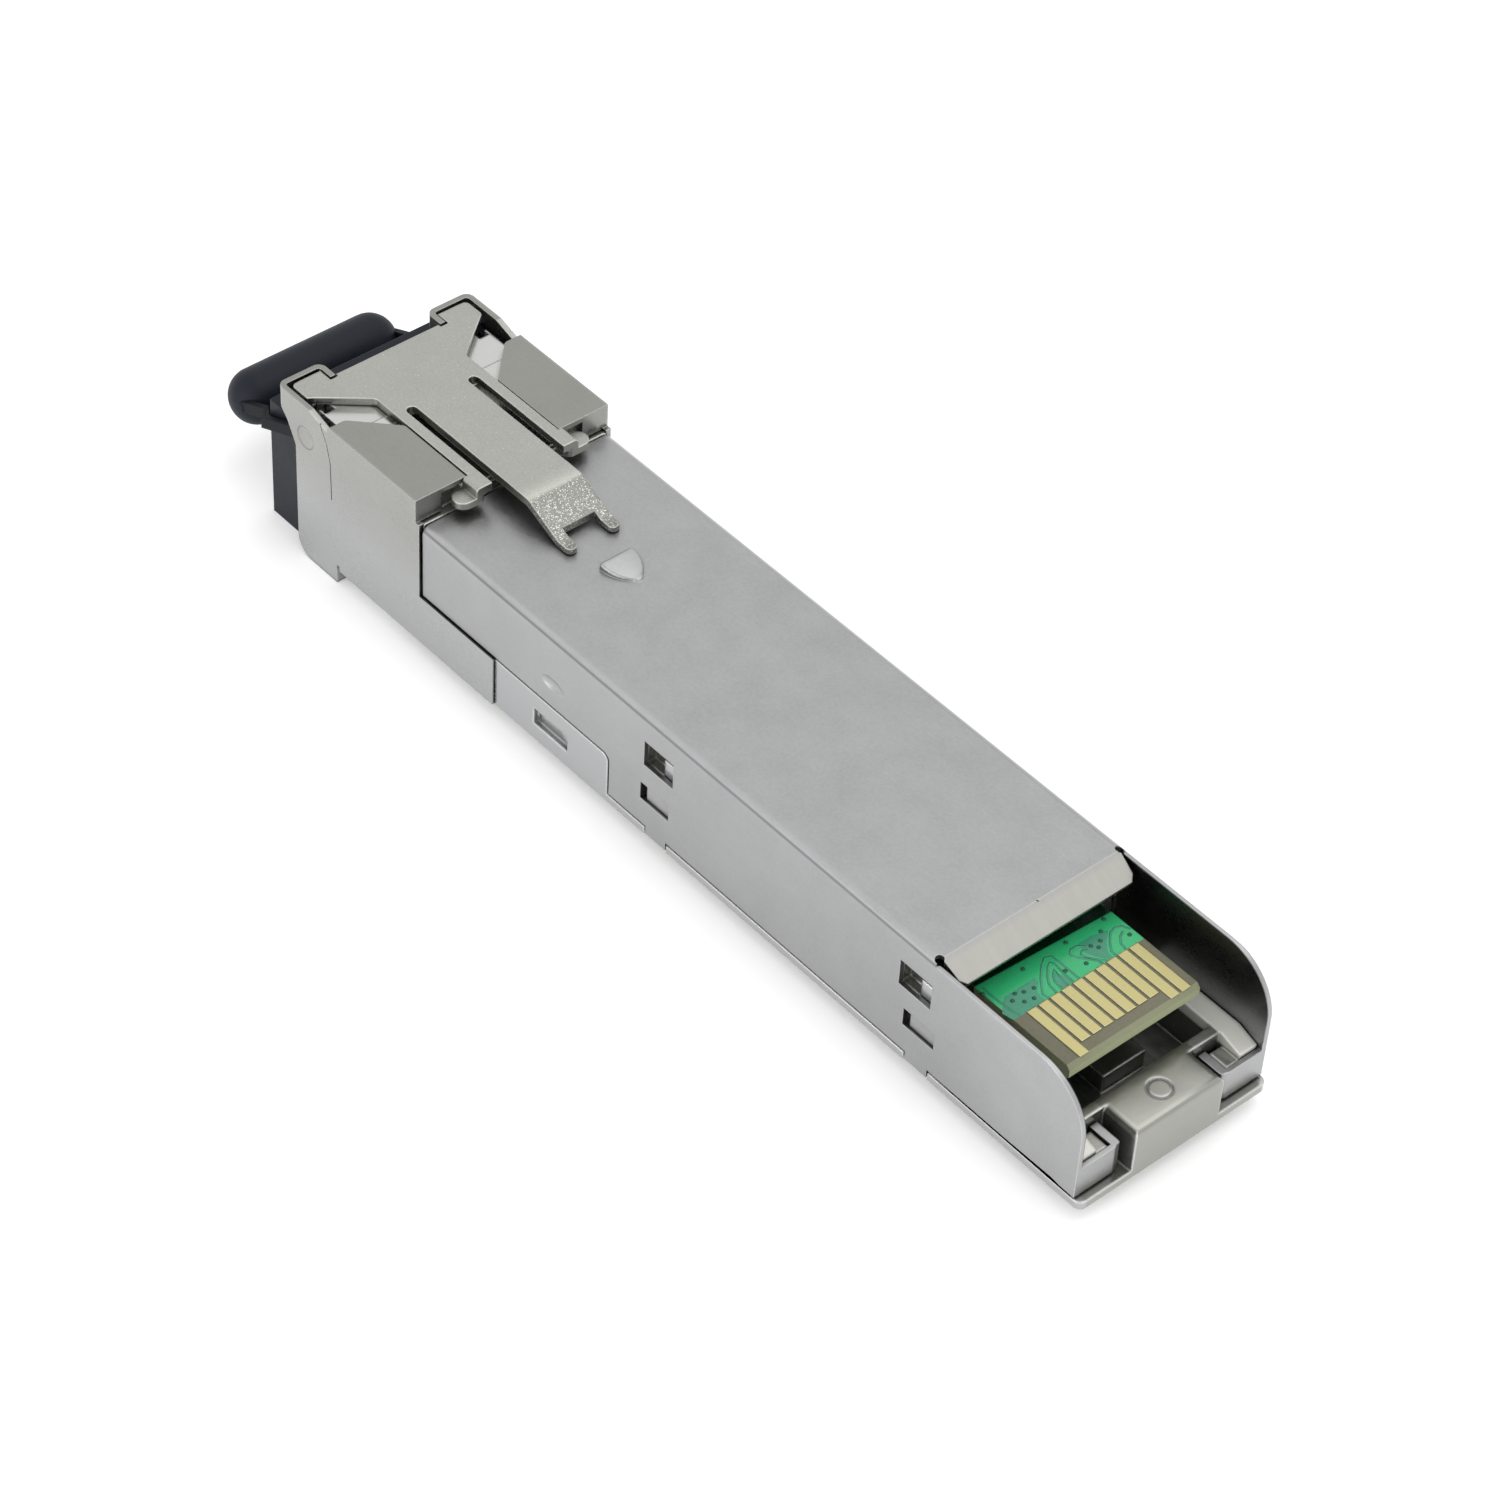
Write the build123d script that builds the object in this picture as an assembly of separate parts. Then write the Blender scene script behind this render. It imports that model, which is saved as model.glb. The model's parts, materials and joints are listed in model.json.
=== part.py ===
from build123d import *
from math import cos, radians, sin
import os

# Small form-factor pluggable optical transceiver with a die-cast base, a folded sheet cover,
# a stamped nose shroud, a sliding latch actuator and a swinging bail. Millimetres.
# X = 0 is the shoulder of the latch boss, +X runs to the card edge, Z = 0 is the underside of the base.

# Overall sizes of the pluggable body
BODY_W = 13.4
BODY_H = 8.5
BODY_REAR = 45.0
COVER_FRONT = -8.55
NOSE_EXTRA_W = 0.3
FIT_GAP = 0.05
SEAM_GAP = 0.15
SEAT_GAP = 0.02
# How far a cutter passes the surface that it opens, and heights that pass the whole object
CUT_OVER = 1.0
WHOLE_Z = (-5.0, 15.0)

# Cover, folded from one sheet
COVER_T = 0.3
COVER_FOLD_R = 0.55
COVER_FOOT = 1.0
COVER_STEP_X = 7.85
COVER_STEP_Z = 3.5
COVER_STEP_R = 0.5
TOP_END = 33.35
LIP_LENGTH = 1.65
LIP_DROP = 0.95
LIP_W = 12.4
LIP_CORNER = 0.45
RELIEF_R = 0.25
FOLD_NICK = (0.42, 0.08, 0.16)
CHEEK_END = 44.5
CHEEK_TOP = 8.2
CHEEK_R = 3.4
TAB_TOP = 3.1
TAB_INNER_Y = 3.8
TAB_RETURN = 1.8
WINDOW_X = (10.65, 30.95)
WINDOW_L = 2.4
WINDOW_Z = (5.0, 6.75)
LANCE_X = (10.45, 31.5)
LANCE_L = 2.35
LANCE_Z = (2.4, 3.6)
LANCE_SET = 0.16
LANCE_SLIT = 0.4
LANCE_GAP = 0.06
LANCE_EASE = 0.05
CUT_CLEAR = 0.1
NOTCH_L = 1.32
NOTCH_DEPTH = 0.6
LIP_TIP_SETBACK = 0.12
FOLD_NICK_X = 0.15
FOLD_NICK_TURN = 20
FOOT_TAB_X = (11.0, 31.9)
FOOT_TAB_L = 1.65
FOOT_TAB_BOTTOM = 0.1
EYE_X = 2.9
EYE_Z = 5.1
EYE_L = 3.2
EYE_R = 0.6
EYE_DEPTH = 0.2
BOSS_W = 2.36
BOSS_L = 2.25
BOSS_H = 0.45
BOSS_TOE = 0.12
BOSS_ROUND = 0.2

# Base casting
FLOOR_T = 0.85
WALL_T = 1.0
WALL_FRONT = -2.05
RAIL_GAP = 0.05
RAIL_Z = 3.3
RAIL_INNER_Y = 5.1
LEDGE_W = 0.5
LEDGE_END = 33.2
RIDGE_X = 42.0
RIDGE_T = 0.6
BLOCK_W = 6.2
BLOCK_EDGE_R = 0.4
POST_TOP = 2.95
EJECTOR_R = 0.72
EJECTOR_DEPTH = 0.08
EJECTOR_RIM = 0.12
WELL_FRONT = 34.5
BASE_CORNER_R = 1.0
SNAP_SLOT_X = 1.35
SNAP_SLOT_L = 2.95
SNAP_SLOT_Z = (1.1, 2.25)
SNAP_SLOT_DEPTH = 0.7
NOSE_REAR = -8.7
NOSE_WALL_FRONT = -16.2
NOSE_TOP_FRONT = -20.3
DECK_DROP = 0.05
CHANNEL_DROP = 0.8
CHANNEL_W = 7.0
BULKHEAD_T = 1.2

# Nose shroud, folded from one sheet
SHROUD_T = 0.35
NOSE_RISE = 1.65
EAR_PROUD = 0.1
EAR_FRONT = -21.75
EAR_ROUND = 0.55
EAR_REAR = -18.7
EAR_DIP = 0.4
SHROUD_FRONT = -20.05
SHROUD_LOBE_Z = -1.0
SHROUD_LOBE_REAR = -16.4
SHROUD_LOBE_R = 1.25
SHROUD_LEG_END = -2.1
FLAP_REAR = -9.0
FLAP_INNER_Y = 3.3
FLAP_FRONT = -16.9
FLAP_SHOULDER_Y = 5.7
FLAP_SLANT_END = -14.5
FLAP_WALL_Y = 5.0
FLAP_WALL_GAP = 0.06
RETURN_INNER_Y = 3.75
RETURN_END = -20.35
RETURN_H = 1.35
ARM_SLOT_H = 0.95
NECK_DROP = 1.6
NECK_JOG = 0.75
NECK_JOG_DROP = 0.25
EAR_FOOT_RISE = 0.45
EAR_SETBACK = 0.3
NECK_ROUND = 0.55
EAR_DIP_RUN = 0.15
REAR_STEP_Z = 0.1
LOBE_STEP_X = 0.25
SEAM_X = (-17.9, -17.15, -16.85, -16.8)
SEAM_DROP = (0.3, -0.9, -3.5)
SEAM_DEPTH = 0.09
STRAP_FRONT = -18.8

# Bail with its stamped frame and rubber grip
PIVOT_X = -19.1
PIVOT_DROP = 0.5
PIVOT_DISH_R = 0.75
PIVOT_DISH_DEPTH = 0.12
PIVOT_R = 0.5
HUB_R = 0.95
ARM_T = 0.4
ARM_H = 0.72
ARM_JOG = 0.85
ARM_CLEAR = 0.1
ARM_STEP_GAP = 0.15
ARM_STEP_IN = 0.9
ARM_STEP_OUT = 0.8
ARM_STEP_EASE = 0.1
ARM_SPARE = 2.0
GRIP_X = -27.65
GRIP_Z = 4.15
GRIP_R = 1.72
GRIP_SPAN = 8.1
GRIP_BAR_R = 0.6
CRANK_R = 1.3
CRANK_LEAD = 50.0
CRANK_PIN_R = 0.22
CRANK_PIN_L = 0.85
CRANK_EDGE_R = 0.3
BAIL_SWING = 42.0

# Latch actuator plate
PLATE_T = 0.5
PLATE_PROUD = 0.05
PLATE_FRONT = -20.4
WING_FRONT = -20.98
WING_GAP = 0.45
WING_REAR = -19.7
WAIST_FRONT = -17.3
STRIP_W = 6.4
STRIP_END = -7.65
SLOT_FRONT = -15.6
SLOT_CENTRE_Y = 2.2
SLOT_W = 0.68
TONGUE_W = 3.75
TONGUE_BEND = -5.3
TONGUE_TOE = -2.7
TONGUE_TIP = -1.7
TONGUE_TIP_RISE = 0.48
FORK_W = 2.3
FORK_ROOT = -3.2
EAR_TAB_DROP = 0.6
EAR_TAB_T = 0.45
EAR_TAB_REACH = 1.5
DRIVE_TAB_T = 0.4
DRIVE_TAB_L = 1.15
DRIVE_TAB_W = 0.5

# Optical receptacle for one square push-pull plug
AXIS_Z = 3.2
PORT_W = 9.1
PORT_H = 7.5
PORT_FRONT = -23.9
PORT_DEPTH = 7.2
HOUSING_TOP = 7.4
HOUSING_FOOT = -1.0
INNER_W = 7.4
INNER_DROP = 2.05
INNER_RISE = 2.8
INNER_DEPTH = 11.6
HOUSING_REAR = -9.9
KEY_W = 2.4
KEY_DEPTH = 0.25
HOOK_T = 0.8
HOOK_H = 2.4
HOOK_BASE_T = 1.0
HOOK_REACH = 0.45
HOLDER_R = 2.0
SLEEVE_BORE_R = 1.25
SLEEVE_T = 0.38
SLEEVE_L = 5.0
SLEEVE_SLIT = 0.35

# Optical sub-assembly
BODY_TUBE_R = 2.25
OPTIC_BLOCK = (4.6, 4.2, 3.4)
CAN_R = 1.55
CAN_L = 1.4
CAN_HEADER_R = 1.7
CAN_HEADER_T = 0.5
LEAD_R = 0.18
LEAD_BEND_R = 0.35
LEAD_FROM_AXIS = 0.6
LEAD_REACH = 0.6
LEAD_PITCH = 0.75
LEAD_COUNT = 4
LEAD_PROUD = 0.4

# Circuit board and what is soldered to it
BOARD_T = 1.0
BOARD_TOP = 6.1
BOARD_FRONT = -6.9
BOARD_END = 41.3
CARD_W = 9.2
BOARD_W = 10.8
CARD_START = 33.4
BOARD_BEVEL = 0.25
PAD_PITCH = 0.8
PAD_W = 0.64
PAD_T = 0.05
PAD_COUNT = 10
PAD_START = 37.2
PAD_END = 40.4
LONG_PAD_END = 41.1
LONG_PADS_TOP = (0, 8, 9)
LONG_PADS_BOTTOM = (0, 3, 9)
PAD_SHIFT = 0.2
DRIVER_SIZE = (4.0, 4.0, 0.9)
DRIVER_X = 8.0
CONTROLLER_SIZE = (5.0, 5.0, 1.0)
CONTROLLER_X = 20.0
MEMORY_SIZE = (3.0, 4.4, 1.0)
MEMORY_X = 21.5
RECEIVER_CHIP_SIZE = (3.0, 3.0, 0.8)
RECEIVER_CHIP_X = 14.0
GULL_LEAD = (0.22, 0.7, 0.15)
GULL_PITCH = 0.65
CHIP_PART = (1.0, 0.5, 0.5)
BEAD_PART = (1.6, 0.8, 0.8)
PAD_INSET = 0.3
PACKAGE_BEVEL = 0.12
GULL_COUNT = 6
# Rows and stations of the small parts on the board
CAPACITOR_ROWS = {6.2: (-3.6, -2.4, 1.8, 3.0), 17.6: (-3.2, -1.6, 1.2, 2.8)}
RESISTOR_ROWS = {-4.4: (13.0, 14.4, 15.8), 3.9: (13.0, 14.4), 3.4: (27.0, 28.6)}
BEAD_X = 29.5
BEAD_Y = (-3.9, -2.3, -0.7, 0.9)

# Places worked out from the sizes above
NOSE_W = BODY_W + NOSE_EXTRA_W
SIDE = BODY_W / 2
SHROUD_TOP = BODY_H + NOSE_RISE
EAR_TOP = SHROUD_TOP + EAR_PROUD
PLATE_TOP = SHROUD_TOP + PLATE_PROUD
PIVOT_Z = BODY_H - PIVOT_DROP
NOSE_SIDE = NOSE_W / 2
SHROUD_IN = NOSE_SIDE - SHROUD_T
COVER_IN = SIDE - COVER_T
RAIL_OUT = COVER_IN - RAIL_GAP
BOARD_FOOT = BOARD_TOP - BOARD_T
PLATE_FOOT = PLATE_TOP - PLATE_T
NOSE_DECK_Z = PLATE_FOOT - DECK_DROP
CHANNEL_Z = PLATE_FOOT - CHANNEL_DROP
EAR_TAB_Z = PLATE_FOOT - EAR_TAB_DROP
PORT_FLOOR = PORT_FRONT + PORT_DEPTH
HOUSING_STEP = SHROUD_LOBE_REAR - SEAT_GAP
CRANK_X = PIVOT_X - CRANK_R * sin(radians(CRANK_LEAD))
CRANK_Z = PIVOT_Z + CRANK_R * cos(radians(CRANK_LEAD))
TRAVEL = CRANK_R * (sin(radians(CRANK_LEAD)) - sin(radians(CRANK_LEAD - BAIL_SWING)))
ARM_OUT = SHROUD_IN - FIT_GAP
WING_W = 2 * (SHROUD_IN - WING_GAP)
ARM_IN = ARM_OUT - ARM_T
HOUSING_W = 2 * (ARM_IN - ARM_CLEAR)
DRIVE_TAB_X = CRANK_X + CRANK_PIN_R + FIT_GAP
DRIVE_TAB_Y = ARM_IN - CRANK_PIN_L + 0.05
SLEEVE_R = SLEEVE_BORE_R + SLEEVE_T
SLEEVE_FRONT = PORT_FLOOR - 0.6
SLEEVE_REAR = SLEEVE_FRONT + SLEEVE_L
HOOK_BASE_X = PORT_FRONT + INNER_DEPTH
BULKHEAD_FRONT = HOUSING_REAR + SEAT_GAP
OPTIC_FRONT = BULKHEAD_FRONT + BULKHEAD_T + SEAT_GAP
OPTIC_REAR = OPTIC_FRONT + OPTIC_BLOCK[0]


def block(x, y, z):
    """A box between pairs of limits."""
    centre = Pos((x[0] + x[1]) / 2, (y[0] + y[1]) / 2, (z[0] + z[1]) / 2)
    return centre * Box(x[1] - x[0], y[1] - y[0], z[1] - z[0])


def disc(axis, centre, r, length):
    """A cylinder whose near end is at centre and that runs along +X, +Y or +Z."""
    turn = {"x": Rot(0, 90, 0), "y": Rot(-90, 0, 0), "z": Rot(0, 0, 0)}[axis]
    return Pos(*centre) * turn * Cylinder(r, length, align=(Align.CENTER, Align.CENTER, Align.MIN))


def side_plate(sketch, y):
    """A sketch drawn in X and Z, made into a plate between two Y limits."""
    return extrude(Plane.XZ.offset(-y[1]) * sketch, amount=y[1] - y[0], dir=(0, -1, 0))


def plan_plate(sketch, z):
    """A sketch drawn in X and Y, made into a plate between two Z limits."""
    return extrude(Pos(0, 0, z[0]) * sketch, amount=z[1] - z[0], dir=(0, 0, 1))


def section_bar(sketch, x):
    """A sketch drawn in Y and Z, run along X between two limits."""
    return extrude(Plane.YZ.offset(x[0]) * sketch, amount=x[1] - x[0], dir=(1, 0, 0))


def outline(*points):
    return Polygon(*points, align=None)


def near(sketch, *points):
    """The corners of a sketch that lie at the given points."""
    return [v for v in sketch.vertices() if any(abs(v.X - p[0]) + abs(v.Y - p[1]) < 0.01 for p in points)]


def round_corners(sketch, r, *points):
    return fillet(near(sketch, *points), r)


def both_sides(solid):
    """The solid and its twin across the centre plane."""
    return [solid, mirror(solid, Plane.XZ)]


def link(p, q, r):
    """A bar with round ends, drawn from p to q."""
    return SlotCenterPoint(((p[0] + q[0]) / 2, (p[1] + q[1]) / 2), q, 2 * r)


def arch(half_w, foot, top, r):
    """A door shape: straight sides, flat top and two rounded upper corners."""
    shape = outline((-half_w, foot), (half_w, foot), (half_w, top), (-half_w, top))
    return round_corners(shape, r, (half_w, top), (-half_w, top))


# Cover
def cover_side_outline():
    shape = outline(
        (COVER_FRONT, COVER_STEP_Z), (COVER_FRONT, BODY_H), (TOP_END, BODY_H), (TOP_END, CHEEK_TOP),
        (CHEEK_END, CHEEK_TOP), (CHEEK_END, COVER_FOOT), (COVER_STEP_X, COVER_FOOT), (COVER_STEP_X, COVER_STEP_Z),
    )
    shape = round_corners(shape, CHEEK_R, (CHEEK_END, CHEEK_TOP))
    return round_corners(shape, COVER_STEP_R, (COVER_STEP_X, COVER_STEP_Z))


def cover_rear_tab():
    """The end of a cheek, folded in across the rear and forward again round the post."""
    x_in = CHEEK_END - COVER_T
    shape = outline(
        (CHEEK_END, SIDE), (CHEEK_END, TAB_INNER_Y), (CHEEK_END - TAB_RETURN, TAB_INNER_Y),
        (CHEEK_END - TAB_RETURN, TAB_INNER_Y + COVER_T), (x_in, TAB_INNER_Y + COVER_T), (x_in, SIDE),
    )
    shape = round_corners(shape, COVER_T, (CHEEK_END, TAB_INNER_Y))
    return plan_plate(shape, (COVER_FOOT, TAB_TOP))


def cover_lance(x):
    """A tongue cut free on three sides and pressed a little inwards."""
    end = x + LANCE_L
    skin = (COVER_IN - LANCE_SET, SIDE - LANCE_SET)
    return block((x + LANCE_SLIT, end + LANCE_EASE), skin, (LANCE_Z[0] + LANCE_GAP, LANCE_Z[1] - LANCE_GAP))


def latch_boss():
    """The pressed shield that the cage latch drops over, highest at its front shoulder."""
    foot = BODY_H - COVER_T / 2
    half = BOSS_W / 2
    flank = (BOSS_L * 0.87, half * 0.32)
    flat = [(0, half), (BOSS_L * 0.5, half * 0.84), flank]
    edge = Line((0, -half), flat[0]) + ThreePointArc(*flat)
    edge += ThreePointArc(flank, (BOSS_L, 0), (flank[0], -flank[1]))
    edge += ThreePointArc(*[(x, -y) for x, y in reversed(flat)])
    plan = round_corners(make_face(edge), BOSS_ROUND, (0, -half), (0, half))
    slope = outline((0, foot), (0, BODY_H + BOSS_H), (BOSS_L, BODY_H + BOSS_TOE), (BOSS_L, foot))
    wedge = plan_plate(plan, (foot, BODY_H + 1)) & side_plate(slope, (-BOSS_W, BOSS_W))
    top = wedge.faces().sort_by(Axis.Z)[-1]
    return fillet(top.edges(), BOSS_ROUND)


def eye_dent():
    """The spindle-shaped punch that leaves a pointed oval dimple in a side."""
    arc = ThreePointArc((-EYE_L / 2, 0), (0, EYE_R), (EYE_L / 2, 0))
    half = make_face(arc + Line((EYE_L / 2, 0), (-EYE_L / 2, 0)))
    return Pos(EYE_X, SIDE + EYE_R - EYE_DEPTH, EYE_Z) * revolve(half, Axis.X)


def cover():
    outer = section_bar(arch(SIDE, COVER_FOOT, BODY_H, COVER_FOLD_R), (COVER_FRONT, CHEEK_END))
    inner = section_bar(
        arch(COVER_IN, COVER_FOOT - CUT_OVER, BODY_H - COVER_T, COVER_FOLD_R - COVER_T),
        (COVER_FRONT - CUT_OVER, CHEEK_END + CUT_OVER),
    )
    shell = (outer - inner) & side_plate(cover_side_outline(), (-SIDE, SIDE))
    shell -= block((TOP_END, CHEEK_END + 1), (-COVER_IN, COVER_IN), (COVER_FOOT, BODY_H + 1))
    lip = outline(
        (TOP_END, BODY_H), (TOP_END, BODY_H - COVER_T),
        (TOP_END + LIP_LENGTH - LIP_TIP_SETBACK, BODY_H - LIP_DROP - COVER_T),
        (TOP_END + LIP_LENGTH, BODY_H - LIP_DROP),
    )
    lip_end = TOP_END + LIP_LENGTH + 0.1
    lip_plan = outline(
        (TOP_END, -LIP_W / 2), (lip_end, -LIP_W / 2), (lip_end, LIP_W / 2), (TOP_END, LIP_W / 2),
    )
    lip_plan = chamfer(near(lip_plan, (lip_end, -LIP_W / 2), (lip_end, LIP_W / 2)), LIP_CORNER)
    shell += side_plate(lip, (-LIP_W / 2, LIP_W / 2)) & plan_plate(lip_plan, (0, BODY_H))
    shell -= Pos(TOP_END + FOLD_NICK_X, LIP_W / 30, BODY_H) * Rot(0, 0, FOLD_NICK_TURN) * Box(*FOLD_NICK)
    shell += latch_boss()
    relief_y = (LIP_W / 2 + COVER_IN) / 2
    for relief in both_sides(disc("z", (TOP_END - RELIEF_R / 3, relief_y, BODY_H - 1), RELIEF_R, 2)):
        shell -= relief
    for cheek in both_sides(cover_rear_tab()):
        shell += cheek
    wall = (COVER_IN - CUT_CLEAR, SIDE + CUT_CLEAR)
    for x in WINDOW_X:
        for hole in both_sides(block((x, x + WINDOW_L), wall, WINDOW_Z)):
            shell -= hole
    for x in LANCE_X:
        for hole in both_sides(block((x, x + LANCE_L), wall, LANCE_Z)):
            shell -= hole
        for tongue in both_sides(cover_lance(x)):
            shell += tongue
    for x in FOOT_TAB_X:
        foot = block((x, x + FOOT_TAB_L), (COVER_IN, SIDE), (FOOT_TAB_BOTTOM, COVER_FOOT + 0.2))
        for tab in both_sides(foot):
            shell += tab
    for eye in both_sides(eye_dent()):
        shell -= eye
    return shell


# Base casting
def base_floor():
    plate = outline((NOSE_REAR, -SIDE), (BODY_REAR, -SIDE), (BODY_REAR, SIDE), (NOSE_REAR, SIDE))
    plate = round_corners(plate, BASE_CORNER_R, (BODY_REAR, -SIDE), (BODY_REAR, SIDE))
    floor = plan_plate(plate, (0, FLOOR_T))
    inset = block((NOSE_REAR - 1, WALL_FRONT), (SHROUD_IN - SEAT_GAP, SIDE + 1), (-1, FLOOR_T + 1))
    for x in FOOT_TAB_X:
        inset += block(
            (x - FIT_GAP * 2, x + FOOT_TAB_L + FIT_GAP * 2), (RAIL_OUT, SIDE + 1), (-1, FLOOR_T + 1)
        )
    for cut in both_sides(inset):
        floor -= cut
    return floor


def base_side(sign):
    """One side: the flush wall by the latch, the rail behind it and the ledge that the board lies on."""
    step = COVER_STEP_X - SEAM_GAP
    wall_shape = outline(
        (NOSE_REAR, 0), (step, 0), (step, COVER_STEP_Z - SEAM_GAP), (NOSE_REAR, COVER_STEP_Z - SEAM_GAP),
    )
    wall_shape = round_corners(wall_shape, COVER_STEP_R, (step, COVER_STEP_Z - SEAM_GAP))
    wall = side_plate(wall_shape, (SIDE - WALL_T, SIDE))
    wall -= block((NOSE_REAR - 1, WALL_FRONT), (SHROUD_IN - SEAT_GAP, SIDE + 1), (-1, BODY_H))
    slot = (SNAP_SLOT_X, SNAP_SLOT_X + SNAP_SLOT_L)
    wall -= block(slot, (SIDE - SNAP_SLOT_DEPTH, SIDE + 1), SNAP_SLOT_Z)
    ramp = outline(
        (slot[0] + 0.4, SIDE - SNAP_SLOT_DEPTH), (slot[1], SIDE - SNAP_SLOT_DEPTH), (slot[1], SIDE - 0.12),
    )
    wall += plan_plate(ramp, (SNAP_SLOT_Z[0] + 0.35, SNAP_SLOT_Z[1]))
    ledge_y = BOARD_W / 2 - LEDGE_W
    ledge = block((NOSE_REAR, LEDGE_END), (ledge_y, RAIL_OUT), (0, BOARD_FOOT - SEAT_GAP))
    fence = block((BOARD_FRONT, LEDGE_END), (BOARD_W / 2 + FIT_GAP, RAIL_OUT), (0, BOARD_TOP))
    rail = block((LEDGE_END, CHEEK_END - COVER_T - RAIL_GAP), (RAIL_INNER_Y, RAIL_OUT), (0, RAIL_Z))
    side = wall + ledge + fence + rail
    for x in LANCE_X:
        side -= block(
            (x - 2 * CUT_CLEAR, x + LANCE_L + CUT_CLEAR),
            (COVER_IN - 2 * LANCE_SET - CUT_CLEAR, RAIL_OUT + CUT_OVER),
            (LANCE_Z[0] - CUT_CLEAR, LANCE_Z[1] + CUT_CLEAR),
        )
    for x in WINDOW_X:
        notch_z = (WINDOW_Z[0] - CUT_CLEAR, BODY_H + CUT_OVER)
        side -= block((x - CUT_CLEAR, x + NOTCH_L), (RAIL_OUT - NOTCH_DEPTH, RAIL_OUT + CUT_OVER), notch_z)
    return side if sign > 0 else mirror(side, Plane.XZ)


def base_rear():
    """Ridge, centre block with its ejector mark, and the posts that the cover tabs close round."""
    mark_x = (RIDGE_X + RIDGE_T + BODY_REAR) / 2 - EJECTOR_R / 2
    ridge = block((RIDGE_X, RIDGE_X + RIDGE_T), (-RAIL_INNER_Y, RAIL_INNER_Y), (0, RAIL_Z))
    centre = block((RIDGE_X + RIDGE_T, BODY_REAR), (-BLOCK_W / 2, BLOCK_W / 2), (0, RAIL_Z))
    top_edges = centre.faces().sort_by(Axis.Z)[-1].edges()
    centre = fillet([e for e in top_edges if e.center().X > RIDGE_X + RIDGE_T + 0.1], BLOCK_EDGE_R)
    mark = disc("z", (mark_x, 0, RAIL_Z - EJECTOR_DEPTH), EJECTOR_R, 1)
    mark -= disc("z", (mark_x, 0, RAIL_Z - 1), EJECTOR_R - EJECTOR_RIM, 3)
    rear = ridge + centre - mark
    post_y = (TAB_INNER_Y + COVER_T + RAIL_GAP, RAIL_OUT)
    post = block((RIDGE_X + RIDGE_T + 0.3, CHEEK_END - COVER_T - RAIL_GAP), post_y, (0, POST_TOP))
    post = fillet(post.edges().filter_by(Axis.X).sort_by(Axis.Z)[-2:], 0.15)
    for twin in both_sides(post):
        rear += twin
    return rear


def base_nose():
    """The open frame that the receptacle slides into, with the channel that the actuator runs in."""
    half = SHROUD_IN - SEAT_GAP
    deck = ARM_IN - ARM_CLEAR
    wall_rear = FLAP_REAR - SHROUD_T - SEAT_GAP
    shoulder = SHROUD_TOP - SHROUD_T - SEAT_GAP
    frame = block((NOSE_WALL_FRONT, wall_rear), (-half, half), (0, shoulder))
    frame += block((wall_rear, NOSE_REAR), (-half, half), (0, BODY_H - FIT_GAP))
    frame -= block((NOSE_WALL_FRONT, NOSE_REAR + 1), (-CHANNEL_W / 2, CHANNEL_W / 2), (CHANNEL_Z, BODY_H * 2))
    frame += block((NOSE_TOP_FRONT, NOSE_WALL_FRONT), (-deck, deck), (HOUSING_TOP, NOSE_DECK_Z))
    housing = HOUSING_W / 2 + SEAT_GAP
    room_z = (FLOOR_T, HOUSING_TOP + SEAT_GAP)
    frame -= block((NOSE_TOP_FRONT - 1, BULKHEAD_FRONT), (-housing, housing), room_z)
    chamfer_front = frame.faces().sort_by(Axis.X)[0].edges().filter_by(Axis.Y).sort_by(Axis.Z)[-1]
    frame = chamfer(chamfer_front, 0.3)
    room = FIT_GAP * 2
    tab_rear = DRIVE_TAB_X + DRIVE_TAB_T + TRAVEL + room
    pin_rear = CRANK_X + TRAVEL + CRANK_PIN_R + room
    pocket_foot = min(CRANK_Z - CRANK_PIN_R, PLATE_TOP - 0.1 - DRIVE_TAB_L) - room
    pocket = block((NOSE_TOP_FRONT - 1, pin_rear), (DRIVE_TAB_Y - room, deck + 1), (pocket_foot, NOSE_DECK_Z + 1))
    pocket += block(
        (NOSE_TOP_FRONT - 1, tab_rear), (DRIVE_TAB_Y - room, DRIVE_TAB_Y + DRIVE_TAB_W + room),
        (pocket_foot, NOSE_DECK_Z + 1),
    )
    for cut in both_sides(pocket):
        frame -= cut
    return frame


def base_casting():
    casting = base_floor() + base_side(1) + base_side(-1) + base_rear() + base_nose()
    bulkhead_x = (BULKHEAD_FRONT, BULKHEAD_FRONT + BULKHEAD_T)
    casting += block(bulkhead_x, (-COVER_IN + SEAT_GAP, COVER_IN - SEAT_GAP), (0, BODY_H - COVER_T - SEAT_GAP))
    casting -= disc("x", (BULKHEAD_FRONT - 1, 0, AXIS_Z), BODY_TUBE_R + FIT_GAP, BULKHEAD_T + 2)
    pocket_y = OPTIC_BLOCK[1] / 2 + 0.25
    casting -= block((bulkhead_x[1], OPTIC_REAR + 0.3), (-pocket_y, pocket_y), (FLOOR_T, BOARD_FOOT))
    well = block((WELL_FRONT, RIDGE_X), (-RAIL_INNER_Y, RAIL_INNER_Y), (FLOOR_T, RAIL_Z))
    step = block((WELL_FRONT, RIDGE_X - 3 * RIDGE_T), (-RIDGE_T, 4 * RIDGE_T), (FLOOR_T - 0.1, FLOOR_T * 2))
    return casting - well + step


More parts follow.
